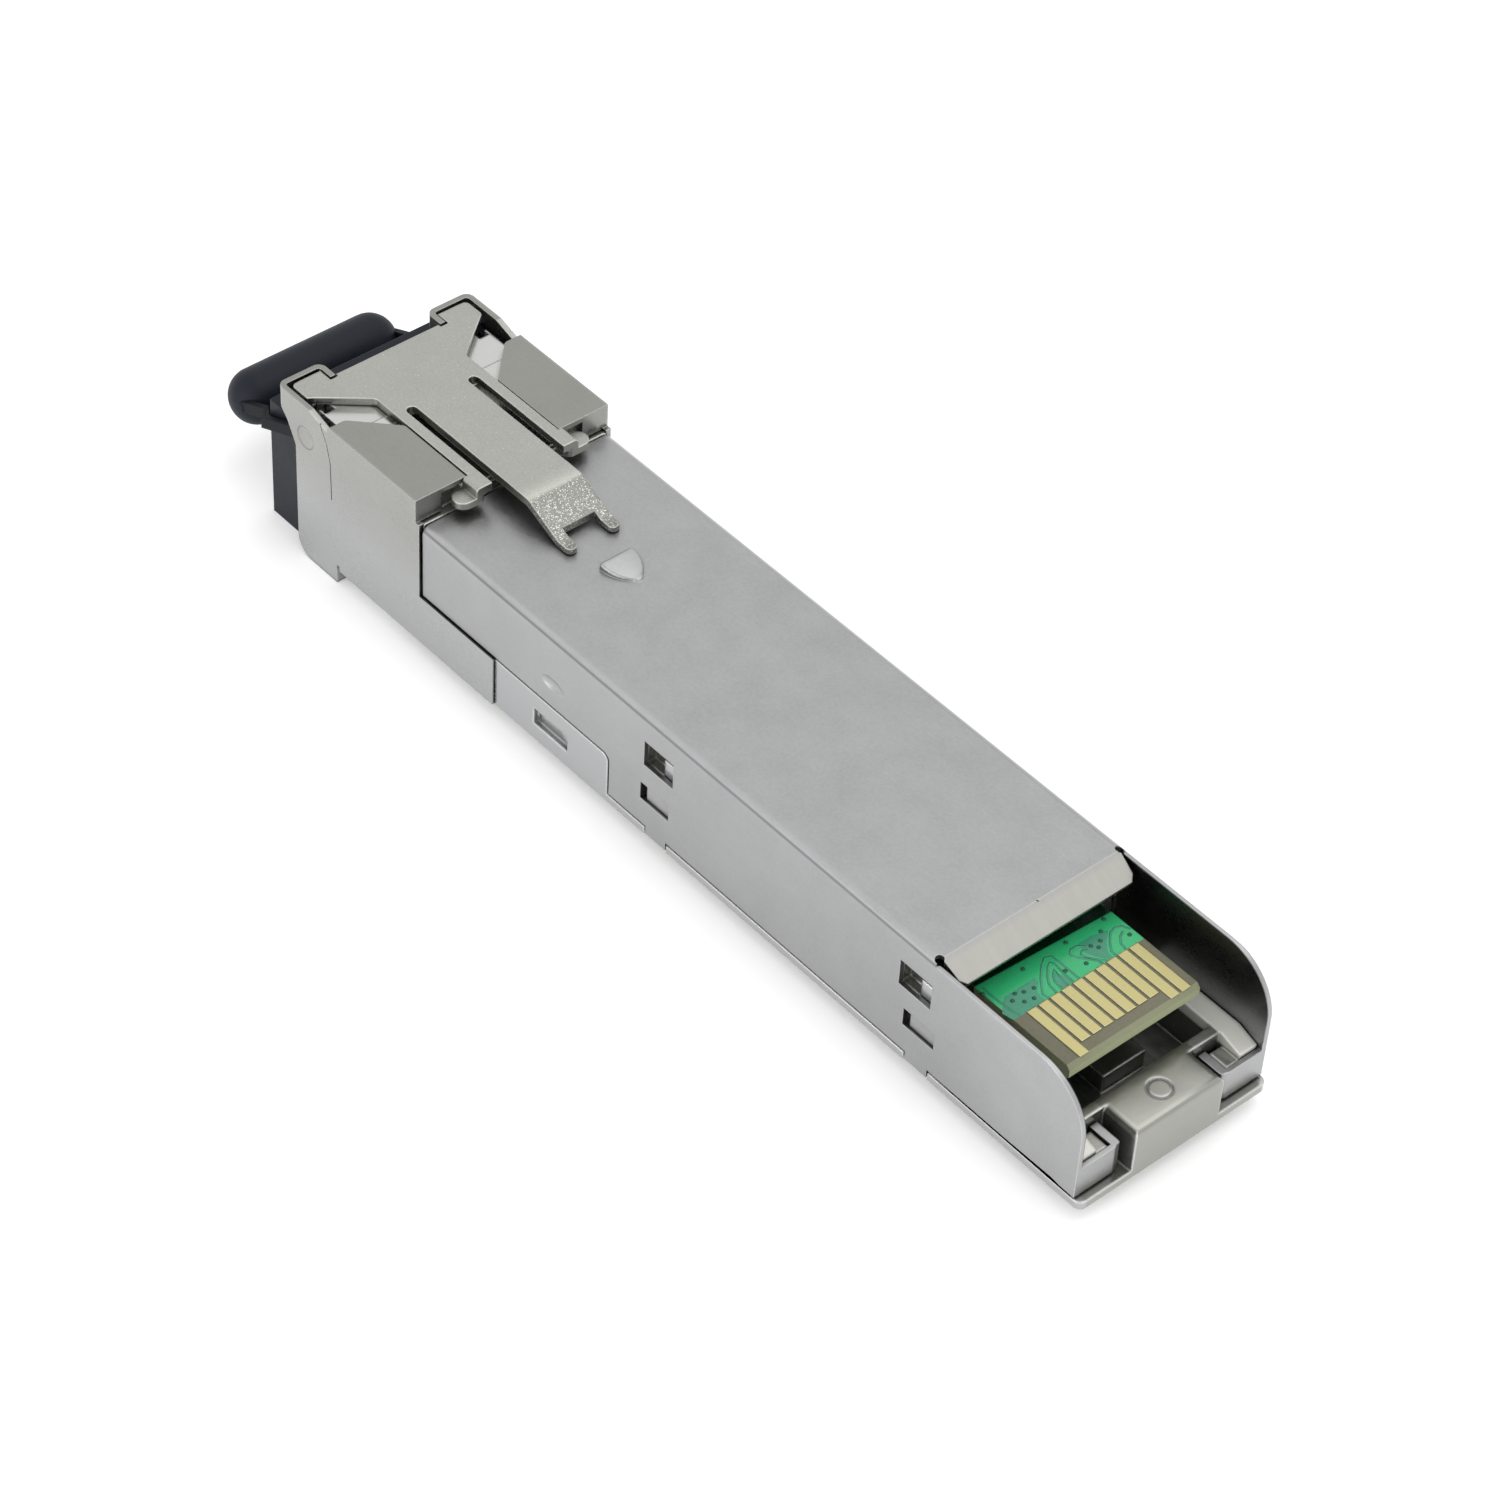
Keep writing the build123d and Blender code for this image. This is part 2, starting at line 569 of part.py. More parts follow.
# Nose shroud
def shroud_side_outline():
    """The side seen square on: neck and ear at the front, lobe below, leg to the rear."""
    seam = COVER_STEP_Z - SEAM_GAP
    ear_x = EAR_FRONT + EAR_SETBACK
    neck = [
        (SHROUD_FRONT, BODY_H - NECK_DROP), (SHROUD_FRONT - NECK_JOG, BODY_H - NECK_JOG_DROP),
        (ear_x, BODY_H + EAR_FOOT_RISE),
    ]
    step_z = BODY_H + REAR_STEP_Z
    lobe_x = SHROUD_LOBE_REAR + LOBE_STEP_X
    shape = outline(
        (SHROUD_LOBE_REAR, SHROUD_LOBE_Z), (SHROUD_FRONT, SHROUD_LOBE_Z), *neck, (ear_x, EAR_TOP),
        (EAR_REAR, EAR_TOP), (FLAP_FRONT - EAR_DIP_RUN, SHROUD_TOP - EAR_DIP), (FLAP_FRONT, SHROUD_TOP),
        (FLAP_REAR, SHROUD_TOP), (FLAP_REAR, step_z), (NOSE_REAR, step_z),
        (NOSE_REAR, seam), (SHROUD_LEG_END, seam), (SHROUD_LEG_END, 0),
        (lobe_x, 0), (lobe_x, SHROUD_T), (SHROUD_LOBE_REAR, SHROUD_T),
    )
    shape = round_corners(shape, SHROUD_LOBE_R, (SHROUD_FRONT, SHROUD_LOBE_Z))
    shape = round_corners(shape, EAR_PROUD * 3, (EAR_REAR, EAR_TOP))
    return round_corners(shape, NECK_ROUND, *neck)


def shroud_flap():
    """The flap folded over the nose, its front cut on a slant, and the wall folded down behind it."""
    shape = outline(
        (FLAP_FRONT, NOSE_SIDE), (FLAP_FRONT, FLAP_SHOULDER_Y), (FLAP_SLANT_END, FLAP_INNER_Y),
        (FLAP_REAR, FLAP_INNER_Y), (FLAP_REAR, NOSE_SIDE),
    )
    shape = round_corners(shape, 0.4, (FLAP_FRONT, FLAP_SHOULDER_Y), (FLAP_SLANT_END, FLAP_INNER_Y))
    flap = plan_plate(shape, (SHROUD_TOP - SHROUD_T, SHROUD_TOP))
    wall = block((FLAP_REAR - SHROUD_T, FLAP_REAR), (FLAP_WALL_Y, NOSE_SIDE), (BODY_H + FLAP_WALL_GAP, SHROUD_TOP))
    return flap + wall


def shroud_return():
    """The front corner rolled across and back, which stops the actuator, with a slot for the bail arm."""
    shape = outline(
        (EAR_FRONT, NOSE_SIDE), (EAR_FRONT, RETURN_INNER_Y), (RETURN_END, RETURN_INNER_Y),
        (RETURN_END, RETURN_INNER_Y + SHROUD_T), (EAR_FRONT + SHROUD_T, RETURN_INNER_Y + SHROUD_T),
        (EAR_FRONT + SHROUD_T, SHROUD_IN), (EAR_FRONT + 2 * EAR_ROUND, SHROUD_IN),
        (EAR_FRONT + 2 * EAR_ROUND, NOSE_SIDE),
    )
    shape = round_corners(shape, EAR_ROUND, (EAR_FRONT, RETURN_INNER_Y), (EAR_FRONT, NOSE_SIDE))
    shape = round_corners(
        shape, EAR_ROUND - SHROUD_T, (EAR_FRONT + SHROUD_T, RETURN_INNER_Y + SHROUD_T),
        (EAR_FRONT + SHROUD_T, SHROUD_IN),
    )
    corner = plan_plate(shape, (EAR_TOP - RETURN_H, EAR_TOP))
    slot = block(
        (EAR_FRONT - 1, EAR_FRONT + SHROUD_T), (ARM_IN - FIT_GAP, SHROUD_IN), (BODY_H - 1, BODY_H + ARM_SLOT_H)
    )
    return corner - slot


def shroud_seam():
    """The shallow line where the front band of the side is pressed proud of the rest."""
    line = list(zip(SEAM_X, (EAR_TOP, *[BODY_H + drop for drop in SEAM_DROP])))
    shape = outline(*line, *[(x + SEAM_DEPTH, z) for x, z in reversed(line)])
    return side_plate(shape, (NOSE_SIDE - SEAM_DEPTH, NOSE_SIDE + CUT_OVER))


def nose_shroud():
    side = side_plate(shroud_side_outline(), (SHROUD_IN, NOSE_SIDE))
    corner_y = (SHROUD_IN - CUT_OVER, NOSE_SIDE + CUT_OVER)
    corner_z = (EAR_TOP - RETURN_H, EAR_TOP + CUT_OVER)
    side -= block((EAR_FRONT - CUT_OVER, EAR_FRONT + 2 * EAR_ROUND), corner_y, corner_z)
    boss_end = ARM_IN + FIT_GAP
    side += disc("y", (PIVOT_X, boss_end, PIVOT_Z), PIVOT_R, SHROUD_IN - boss_end)
    dish_r = (PIVOT_DISH_R**2 + PIVOT_DISH_DEPTH**2) / (2 * PIVOT_DISH_DEPTH)
    side -= Pos(PIVOT_X, NOSE_SIDE + dish_r - PIVOT_DISH_DEPTH, PIVOT_Z) * Sphere(dish_r)
    half = side + shroud_flap() + shroud_return() - shroud_seam()
    strap = block(
        (STRAP_FRONT, SHROUD_LOBE_REAR), (-NOSE_SIDE + CUT_CLEAR, NOSE_SIDE - CUT_CLEAR),
        (SHROUD_LOBE_Z, SHROUD_LOBE_Z + SHROUD_T),
    )
    return half + mirror(half, Plane.XZ) + strap


# Bail
def arm_outline():
    """One arm seen from the side: hub, crank corner and the straight bar down to the grip."""
    arm = link((PIVOT_X, PIVOT_Z - 0.2), (GRIP_X, GRIP_Z), ARM_H / 2)
    arm += Pos(PIVOT_X, PIVOT_Z) * Circle(HUB_R)
    arm += link((PIVOT_X - 0.2, PIVOT_Z + 0.4), (CRANK_X, CRANK_Z), CRANK_EDGE_R)
    return arm - Pos(PIVOT_X, PIVOT_Z) * Circle(PIVOT_R + FIT_GAP)


def arm_plan():
    """The same arm seen from above: it steps inwards past the receptacle to meet the grip."""
    step_x = PORT_FRONT - ARM_STEP_GAP
    rear = PIVOT_X + ARM_SPARE
    front = GRIP_X - ARM_SPARE
    return outline(
        (rear, ARM_OUT), (rear, ARM_IN), (step_x, ARM_IN), (step_x - ARM_STEP_IN, ARM_IN - ARM_JOG),
        (front, ARM_IN - ARM_JOG), (front, ARM_OUT - ARM_JOG), (step_x - ARM_STEP_OUT, ARM_OUT - ARM_JOG),
        (step_x + ARM_STEP_EASE, ARM_OUT),
    )


def bail_frame():
    arm = side_plate(arm_outline(), (0, NOSE_SIDE)) & plan_plate(arm_plan(), WHOLE_Z)
    arm += disc("y", (CRANK_X, ARM_IN - CRANK_PIN_L, CRANK_Z), CRANK_PIN_R, CRANK_PIN_L + 0.05)
    bar_half = ARM_IN - ARM_JOG + 0.2
    frame = disc("y", (GRIP_X, -bar_half, GRIP_Z), GRIP_BAR_R, 2 * bar_half)
    for twin in both_sides(arm):
        frame += twin
    return frame


def bail_grip(frame):
    """The moulded rubber pill over the cross bar."""
    half = GRIP_SPAN / 2
    pill = outline((-half - GRIP_R, 0), (half + GRIP_R, 0), (half + GRIP_R, GRIP_R), (-half - GRIP_R, GRIP_R))
    pill = round_corners(pill, GRIP_R * 0.97, (half + GRIP_R, GRIP_R), (-half - GRIP_R, GRIP_R))
    bar = revolve(pill, Axis.X)
    grip = Pos(GRIP_X, 0, GRIP_Z) * Rot(0, 0, 90) * bar
    return grip - frame


# Latch actuator
def actuator_plan():
    half, strip, wing = TONGUE_W / 2, STRIP_W / 2, WING_W / 2
    gap_y = (RETURN_INNER_Y - 0.1, RETURN_INNER_Y + SHROUD_T + 0.1)
    right = outline(
        (PLATE_FRONT, 0), (PLATE_FRONT, gap_y[0]), (RETURN_END + 0.15, gap_y[0]), (RETURN_END + 0.15, gap_y[1]),
        (WING_FRONT, gap_y[1]), (WING_FRONT, wing), (WING_REAR, wing), (WAIST_FRONT, strip), (STRIP_END, strip),
        (STRIP_END, half), (TONGUE_BEND, half), (TONGUE_BEND, 0),
    )
    slot_y = SLOT_CENTRE_Y
    right -= link((SLOT_FRONT + SLOT_W / 2, slot_y), (STRIP_END + 1, slot_y), SLOT_W / 2)
    right = round_corners(right, 0.35, (WING_FRONT, wing), (WING_REAR, wing), (WAIST_FRONT, strip))
    return right


def tongue():
    """The middle finger, bent down to a fork that lifts the cage latch."""
    drop = BODY_H + TONGUE_TIP_RISE - PLATE_TOP
    shape = outline(
        (TONGUE_BEND - 0.1, PLATE_TOP), (TONGUE_BEND, PLATE_TOP), (TONGUE_TOE, PLATE_TOP + drop),
        (TONGUE_TIP, PLATE_TOP + drop - 0.05), (TONGUE_TIP, PLATE_TOP + drop - 0.4),
        (TONGUE_TOE - 0.1, PLATE_TOP + drop - PLATE_T + 0.1), (TONGUE_BEND - 0.1, PLATE_FOOT),
    )
    finger = side_plate(shape, (-TONGUE_W / 2, TONGUE_W / 2))
    fork = outline(
        (TONGUE_BEND - 1, -TONGUE_W / 2), (TONGUE_TIP, -TONGUE_W / 2), (TONGUE_TIP, -FORK_W / 2),
        (FORK_ROOT, -FORK_W / 2), (FORK_ROOT, FORK_W / 2), (TONGUE_TIP, FORK_W / 2),
        (TONGUE_TIP, TONGUE_W / 2), (TONGUE_BEND - 1, TONGUE_W / 2),
    )
    prong = (TONGUE_W - FORK_W) / 2
    tips = [(TONGUE_TIP, s * w / 2) for s in (1, -1) for w in (FORK_W, TONGUE_W)]
    fork = round_corners(fork, prong * 0.45, *tips)
    return finger & plan_plate(fork, WHOLE_Z)


def ear_tab():
    """The tab at the end of a side strip, stepped down and outwards behind the shroud flap."""
    front = FLAP_REAR + FIT_GAP
    y = STRIP_W / 2
    r = (STRIP_END - front) / 2
    riser = block((front, STRIP_END), (y - 0.05, y + PLATE_T - 0.1), (EAR_TAB_Z, PLATE_TOP))
    riser = fillet(riser.edges().filter_by(Axis.X).sort_by(Axis.Z)[-2:].sort_by(Axis.Y)[-1], 0.25)
    tab = link((front + r, y + 0.2), (front + r, y + EAR_TAB_REACH - r), r)
    return riser + plan_plate(tab, (EAR_TAB_Z, EAR_TAB_Z + EAR_TAB_T))


def drive_tab():
    """The tab turned down from a wing, which the crank pin of the bail pushes."""
    x = (DRIVE_TAB_X, DRIVE_TAB_X + DRIVE_TAB_T)
    top = PLATE_TOP - 0.1
    return block(x, (DRIVE_TAB_Y, DRIVE_TAB_Y + DRIVE_TAB_W), (top - DRIVE_TAB_L, top))


def latch_actuator():
    half = plan_plate(actuator_plan(), (PLATE_FOOT, PLATE_TOP)) + ear_tab() + drive_tab()
    return half + mirror(half, Plane.XZ) + tongue()


# Receptacle
def receptacle():
    half = HOUSING_W / 2
    housing = block((PORT_FRONT, HOUSING_STEP), (-half, half), (HOUSING_FOOT, HOUSING_TOP))
    strap_z = (WHOLE_Z[0], SHROUD_LOBE_Z + SHROUD_T + SEAT_GAP)
    housing -= block((STRAP_FRONT - SEAT_GAP, HOUSING_STEP + CUT_OVER), (-BODY_W, BODY_W), strap_z)
    rear = block((HOUSING_STEP, HOUSING_REAR), (-half, half), (FLOOR_T + SEAT_GAP, HOUSING_TOP - SEAT_GAP))
    housing = chamfer(housing.faces().sort_by(Axis.X)[0].edges(), 0.2) + rear
    port = PORT_W / 2
    port_z = (AXIS_Z - PORT_H / 2, AXIS_Z + PORT_H / 2)
    mouth = block((PORT_FRONT - 1, PORT_FLOOR), (-port, port), port_z)
    mouth += block((PORT_FRONT - 1, PORT_FLOOR), (-KEY_W / 2, KEY_W / 2), (AXIS_Z, port_z[1] + KEY_DEPTH))
    inner_z = (AXIS_Z - INNER_DROP, AXIS_Z + INNER_RISE)
    mouth += block((PORT_FLOOR - 1, HOOK_BASE_X), (-INNER_W / 2, INNER_W / 2), inner_z)
    housing -= mouth
    housing -= disc("x", (HOOK_BASE_X - 1, 0, AXIS_Z), SLEEVE_R + FIT_GAP, 5)
    lead_in = Plane.YZ.offset(PORT_FRONT) * Rectangle(PORT_W + 0.5, PORT_H + 0.5)
    lead_in = Pos(0, 0, AXIS_Z) * loft([lead_in, Plane.YZ.offset(PORT_FRONT + 0.4) * Rectangle(PORT_W, PORT_H)])
    return housing - lead_in


def receptacle_hooks():
    """The moulded insert with two sprung hooks and the holder of the sleeve."""
    rear = HOOK_BASE_X - SEAT_GAP
    front = rear - HOOK_BASE_T
    inner_z = (AXIS_Z - INNER_DROP + SEAT_GAP, AXIS_Z + INNER_RISE - SEAT_GAP)
    plate = block((front, rear), (-INNER_W / 2 + SEAT_GAP, INNER_W / 2 - SEAT_GAP), inner_z)
    tip = PORT_FLOOR - 0.6
    outer = INNER_W / 2 - SEAT_GAP
    hook = outline(
        (front + 0.1, outer), (front + 0.1, outer - HOOK_T), (tip + 0.9, outer - HOOK_T),
        (tip + 0.45, outer - HOOK_T - HOOK_REACH), (tip, outer - HOOK_T + 0.1), (tip, outer - 0.15),
    )
    insert = plate
    for arm in both_sides(plan_plate(hook, (AXIS_Z - HOOK_H / 2, AXIS_Z + HOOK_H / 2))):
        insert += arm
    insert += disc("x", (SLEEVE_FRONT - 0.3, 0, AXIS_Z), HOLDER_R, front - SLEEVE_FRONT + 0.4)
    return insert - disc("x", (SLEEVE_FRONT - 1, 0, AXIS_Z), SLEEVE_R + FIT_GAP / 2, SLEEVE_L + 2)


def split_sleeve():
    tube = disc("x", (SLEEVE_FRONT, 0, AXIS_Z), SLEEVE_R, SLEEVE_L)
    tube -= disc("x", (SLEEVE_FRONT - 1, 0, AXIS_Z), SLEEVE_BORE_R, SLEEVE_L + 2)
    slit = block((SLEEVE_FRONT - 1, SLEEVE_REAR + 1), (-SLEEVE_SLIT / 2, SLEEVE_SLIT / 2), (AXIS_Z, AXIS_Z + 3))
    return tube - slit


def fibre_stub():
    """Ceramic cylinder that a plug's ferrule meets at the bottom of the sleeve."""
    start = SLEEVE_REAR + SEAT_GAP
    stub = disc("x", (start, 0, AXIS_Z), SLEEVE_R, HOUSING_REAR - start)
    return chamfer(stub.faces().sort_by(Axis.X)[0].edges(), 0.2)


# Optical sub-assembly
def optic_body():
    """Turned tube that meets the sleeve, and the block that carries laser and receiver."""
    tube = disc("x", (BULKHEAD_FRONT, 0, AXIS_Z), BODY_TUBE_R, OPTIC_FRONT - BULKHEAD_FRONT)
    half_y, half_z = OPTIC_BLOCK[1] / 2, OPTIC_BLOCK[2] / 2
    body = block((OPTIC_FRONT, OPTIC_REAR), (-half_y, half_y), (AXIS_Z - half_z, AXIS_Z + half_z))
    return tube + chamfer(body.edges().filter_by(Axis.X), 0.5)


def can(axis, face):
    """A capped metal can with its header flange, standing on a face of the block."""
    header_at = list(face)
    header_at["xy".index(axis)] += CAN_L
    return disc(axis, face, CAN_R, CAN_L) + disc(axis, header_at, CAN_HEADER_R, CAN_HEADER_T)


def laser_can():
    return can("x", (OPTIC_REAR + SEAT_GAP, 0, AXIS_Z))


def receiver_can():
    return can("y", (OPTIC_FRONT + 2.2, OPTIC_BLOCK[1] / 2 + SEAT_GAP, AXIS_Z))


def lead(start, elbow, top):
    """A flattened wire from the header, bent up through the board."""
    path = FilletPolyline(start, elbow, top, radius=LEAD_BEND_R)
    return sweep(Plane(origin=path @ 0, z_dir=path % 0) * Rectangle(2 * LEAD_R, 2 * LEAD_R), path)


def laser_leads():
    x = OPTIC_REAR + SEAT_GAP * 2 + CAN_L + CAN_HEADER_T
    top = BOARD_TOP + LEAD_PROUD
    first = -LEAD_PITCH * (LEAD_COUNT - 1) / 2
    ys = [first + LEAD_PITCH * i for i in range(LEAD_COUNT)]
    z = AXIS_Z + LEAD_FROM_AXIS
    return [lead((x, y, z), (x + LEAD_REACH, y, z), (x + LEAD_REACH, y, top)) for y in ys]


def receiver_leads():
    y = OPTIC_BLOCK[1] / 2 + SEAT_GAP * 2 + CAN_L + CAN_HEADER_T
    top = BOARD_TOP + LEAD_PROUD
    first = OPTIC_FRONT + 2.2 - LEAD_PITCH * (LEAD_COUNT - 1) / 2
    xs = [first + LEAD_PITCH * i for i in range(LEAD_COUNT)]
    z = AXIS_Z + LEAD_FROM_AXIS
    return [lead((x, y, z), (x, y + LEAD_REACH - 0.1, z), (x, y + LEAD_REACH - 0.1, top)) for x in xs]


# Circuit board
def circuit_board(leads):
    wide, card = BOARD_W / 2, CARD_W / 2
    shape = outline(
        (BOARD_FRONT, -wide), (CARD_START - 1, -wide), (CARD_START, -card), (BOARD_END, -card),
        (BOARD_END, card), (CARD_START, card), (CARD_START - 1, wide), (BOARD_FRONT, wide),
    )
    board = plan_plate(shape, (BOARD_FOOT, BOARD_TOP))
    end_edges = board.faces().sort_by(Axis.X)[-1].edges().filter_by(Axis.Y)
    board = chamfer(end_edges, BOARD_BEVEL)
    for wire in leads:
        end = wire.bounding_box().max
        half = LEAD_R + FIT_GAP
        hole = (end.X - LEAD_R, end.Y - LEAD_R)
        through = (BOARD_FOOT - CUT_OVER, BOARD_TOP + CUT_OVER)
        board -= block((hole[0] - half, hole[0] + half), (hole[1] - half, hole[1] + half), through)
    return board


def edge_contacts(z, long_pads):
    first = PAD_SHIFT - PAD_PITCH * (PAD_COUNT - 1) / 2
    pads = []
    for i in range(PAD_COUNT):
        y = first + PAD_PITCH * i
        end = LONG_PAD_END if i in long_pads else PAD_END
        pads.append(block((PAD_START, end), (y - PAD_W / 2, y + PAD_W / 2), (z, z + PAD_T)))
    return pads


def package(x, size, z, y=0.0):
    """A moulded chip package with bevelled top edges."""
    body = block((x, x + size[0]), (y - size[1] / 2, y + size[1] / 2), (z, z + size[2]))
    return chamfer(body.faces().sort_by(Axis.Z)[-1].edges(), PACKAGE_BEVEL)


def gull_leads():
    """Flat leads along both sides of the controller package."""
    width, reach, thick = GULL_LEAD
    leads = []
    first = CONTROLLER_X + CONTROLLER_SIZE[0] / 2 - GULL_PITCH * (GULL_COUNT - 1) / 2
    for i in range(GULL_COUNT):
        x = first + GULL_PITCH * i
        y = CONTROLLER_SIZE[1] / 2 + SEAT_GAP
        pin = block((x - width / 2, x + width / 2), (y, y + reach), (BOARD_TOP, BOARD_TOP + thick))
        leads += both_sides(pin)
    return leads


def small_parts(size, places, z):
    return [block((x, x + size[0]), (y, y + size[1]), (z, z + size[2])) for x, y in places]


def thermal_pad():
    """Soft pad between the driver chip and the cover."""
    top = BODY_H - COVER_T - SEAT_GAP
    x = (DRIVER_X + PAD_INSET, DRIVER_X + DRIVER_SIZE[0] - PAD_INSET)
    half = DRIVER_SIZE[1] / 2 - PAD_INSET
    return block(x, (-half, half), (BOARD_TOP + DRIVER_SIZE[2], top))


CAPACITOR_PLACES = [(x, y) for x, row in CAPACITOR_ROWS.items() for y in row]
RESISTOR_PLACES = [(x, y) for y, row in RESISTOR_ROWS.items() for x in row]
BEAD_PLACES = [(BEAD_X, y) for y in BEAD_Y]


def build():
    lasers, receivers = laser_leads(), receiver_leads()
    frame = bail_frame()
    return {
        "base_casting": base_casting(),
        "cover": cover(),
        "nose_shroud": nose_shroud(),
        "latch_actuator": latch_actuator(),
        "bail_frame": frame,
        "bail_grip": bail_grip(frame),
        "receptacle": receptacle(),
        "receptacle_hooks": receptacle_hooks(),
        "split_sleeve": split_sleeve(),
        "fibre_stub": fibre_stub(),
        "optic_body": optic_body(),
        "laser_can": laser_can(),
        "laser_leads": lasers,
        "receiver_can": receiver_can(),
        "receiver_leads": receivers,
        "circuit_board": circuit_board(lasers + receivers),
        "edge_contacts_top": edge_contacts(BOARD_TOP, LONG_PADS_TOP),
        "edge_contacts_bottom": edge_contacts(BOARD_FOOT - PAD_T, LONG_PADS_BOTTOM),
        "driver_chip": package(DRIVER_X, DRIVER_SIZE, BOARD_TOP),
        "receiver_chip": package(RECEIVER_CHIP_X, RECEIVER_CHIP_SIZE, BOARD_TOP),
        "controller_chip": package(CONTROLLER_X, CONTROLLER_SIZE, BOARD_TOP),
        "controller_leads": gull_leads(),
        "memory_chip": package(MEMORY_X, MEMORY_SIZE, BOARD_FOOT - MEMORY_SIZE[2]),
        "thermal_pad": thermal_pad(),
        "capacitors": small_parts(CHIP_PART, CAPACITOR_PLACES, BOARD_TOP),
        "resistors": small_parts(CHIP_PART, RESISTOR_PLACES, BOARD_TOP),
        "ferrite_beads": small_parts(BEAD_PART, BEAD_PLACES, BOARD_TOP),
    }


def solids_of(shape):
    if isinstance(shape, list):
        return [s for item in shape for s in solids_of(item)]
    return list(shape.solids())


def main():
    os.makedirs("parts", exist_ok=True)
    for name, shape in build().items():
        solids = solids_of(shape)
        body = solids[0] if len(solids) == 1 else Compound(children=solids)
        export_step(body, f"parts/{name}.step")
        size = body.bounding_box().size
        print(f"{name}: {len(solids)} solid(s), {size.X:.2f} x {size.Y:.2f} x {size.Z:.2f} mm")


if __name__ == "__main__":
    main()
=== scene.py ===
"""Pluggable optical transceiver: finishes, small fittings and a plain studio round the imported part."""

import json
import math

import bmesh
import bpy
from bpy.props import FloatProperty, FloatVectorProperty, PointerProperty
from mathutils import Matrix, Vector

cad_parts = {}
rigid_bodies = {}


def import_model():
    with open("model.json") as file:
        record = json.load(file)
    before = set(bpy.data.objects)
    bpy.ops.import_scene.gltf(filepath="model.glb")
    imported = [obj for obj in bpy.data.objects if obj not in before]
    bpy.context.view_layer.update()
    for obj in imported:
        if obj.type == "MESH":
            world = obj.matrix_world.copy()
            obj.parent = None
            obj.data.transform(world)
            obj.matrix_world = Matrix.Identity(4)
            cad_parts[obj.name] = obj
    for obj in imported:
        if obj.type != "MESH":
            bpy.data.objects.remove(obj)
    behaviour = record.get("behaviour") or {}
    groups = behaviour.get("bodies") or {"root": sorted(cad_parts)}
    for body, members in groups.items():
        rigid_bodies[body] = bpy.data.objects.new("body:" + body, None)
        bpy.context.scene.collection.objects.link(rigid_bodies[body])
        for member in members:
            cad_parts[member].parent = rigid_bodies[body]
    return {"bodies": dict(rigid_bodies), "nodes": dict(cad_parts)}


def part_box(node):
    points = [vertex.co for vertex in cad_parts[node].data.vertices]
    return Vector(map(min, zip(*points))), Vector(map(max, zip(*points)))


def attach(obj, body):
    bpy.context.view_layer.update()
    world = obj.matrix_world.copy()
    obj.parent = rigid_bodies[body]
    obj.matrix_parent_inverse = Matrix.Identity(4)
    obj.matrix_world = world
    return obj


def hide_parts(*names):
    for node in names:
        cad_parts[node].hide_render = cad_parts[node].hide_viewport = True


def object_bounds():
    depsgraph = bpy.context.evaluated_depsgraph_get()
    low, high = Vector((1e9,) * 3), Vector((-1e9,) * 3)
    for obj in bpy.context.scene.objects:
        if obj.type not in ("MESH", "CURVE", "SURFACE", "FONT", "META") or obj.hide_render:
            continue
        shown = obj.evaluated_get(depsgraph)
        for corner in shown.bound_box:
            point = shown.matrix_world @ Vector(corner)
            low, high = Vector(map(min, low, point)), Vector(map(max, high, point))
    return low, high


bl_info = {
    "name": "Optical transceiver finishes",
    "version": (1, 0, 0),
    "blender": (4, 5, 0),
    "location": "View3D > Sidebar > Transceiver",
    "description": "Finishes, small fittings and a studio for a pluggable optical transceiver",
    "category": "Object",
}

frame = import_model()
CAD_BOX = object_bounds()
NODES = frame["nodes"]
MM = 0.001

# The photograph's camera, measured in millimetres and degrees round a point on the body
CAMERA_AZIMUTH = 46.78
CAMERA_ELEVATION = 43.803
CAMERA_ROLL = 3.611
CAMERA_DISTANCE = 240.226
CAMERA_AIM = (18.0, 0.0, 4.0)
CAMERA_SLIDE = (-4.141, 2.653)
FOCAL_PIXELS = 4502.352
PHOTO_PIXELS = 1500
SENSOR_MM = 36.0

# Places on the part that finishes follow, in metres
COVER_INNER_Y = 0.00646
CHEEK_LOW_Z = 0.00315
LIP_START_X = 0.0334
LIP_HALF_Y = 0.00625
LIP_LOW_Z = 0.005
FOLD_LINE_Z = 0.00822
FOLD_HIGHLIGHT_Z = 0.00842
FOLD_LINE_HALF = 0.00012
DISH_X = -0.0191
DISH_Z = 0.008
DISH_RIM = 0.00072
DISH_RIM_HALF = 0.00007
MASK_END_X = 0.0372
LIP_SHADOW_X = 0.03447
LIP_SHADOW_SLOPE = 0.054
RAIL_X = 0.0365
RAIL_Y = 0.0051
RAIL_TOP_Z = 0.0033
HOUSING_X = -0.011
HOUSING_Y = 0.0034
BLOCK_Y = 0.0032
WALL_Y = 0.0063
DECK_Z = 0.009
SIDE_Y = 0.0067
TONGUE_START_X = -0.0053

# Half the width of a lead, and the nodes that hold leads
LEAD_HALF = 0.00018
LEADS = ("laser_leads", "receiver_leads")

# Runs over which a tone changes, in metres; the last is short and serves for every plain border
COVER_FADE_X = (0.0, 0.033)
LIP_FADE_X = (0.034, 0.04)
CHEEK_FADE = (0.0372, 0.0408)
CHEEK_FADE_Z = (CHEEK_LOW_Z, 0.0048)
SIDE_FADE_Z = (0.0035, 0.0075)
BLOCK_FADE_X = (0.0426, 0.0447)
BLEND_RUN = 0.0001

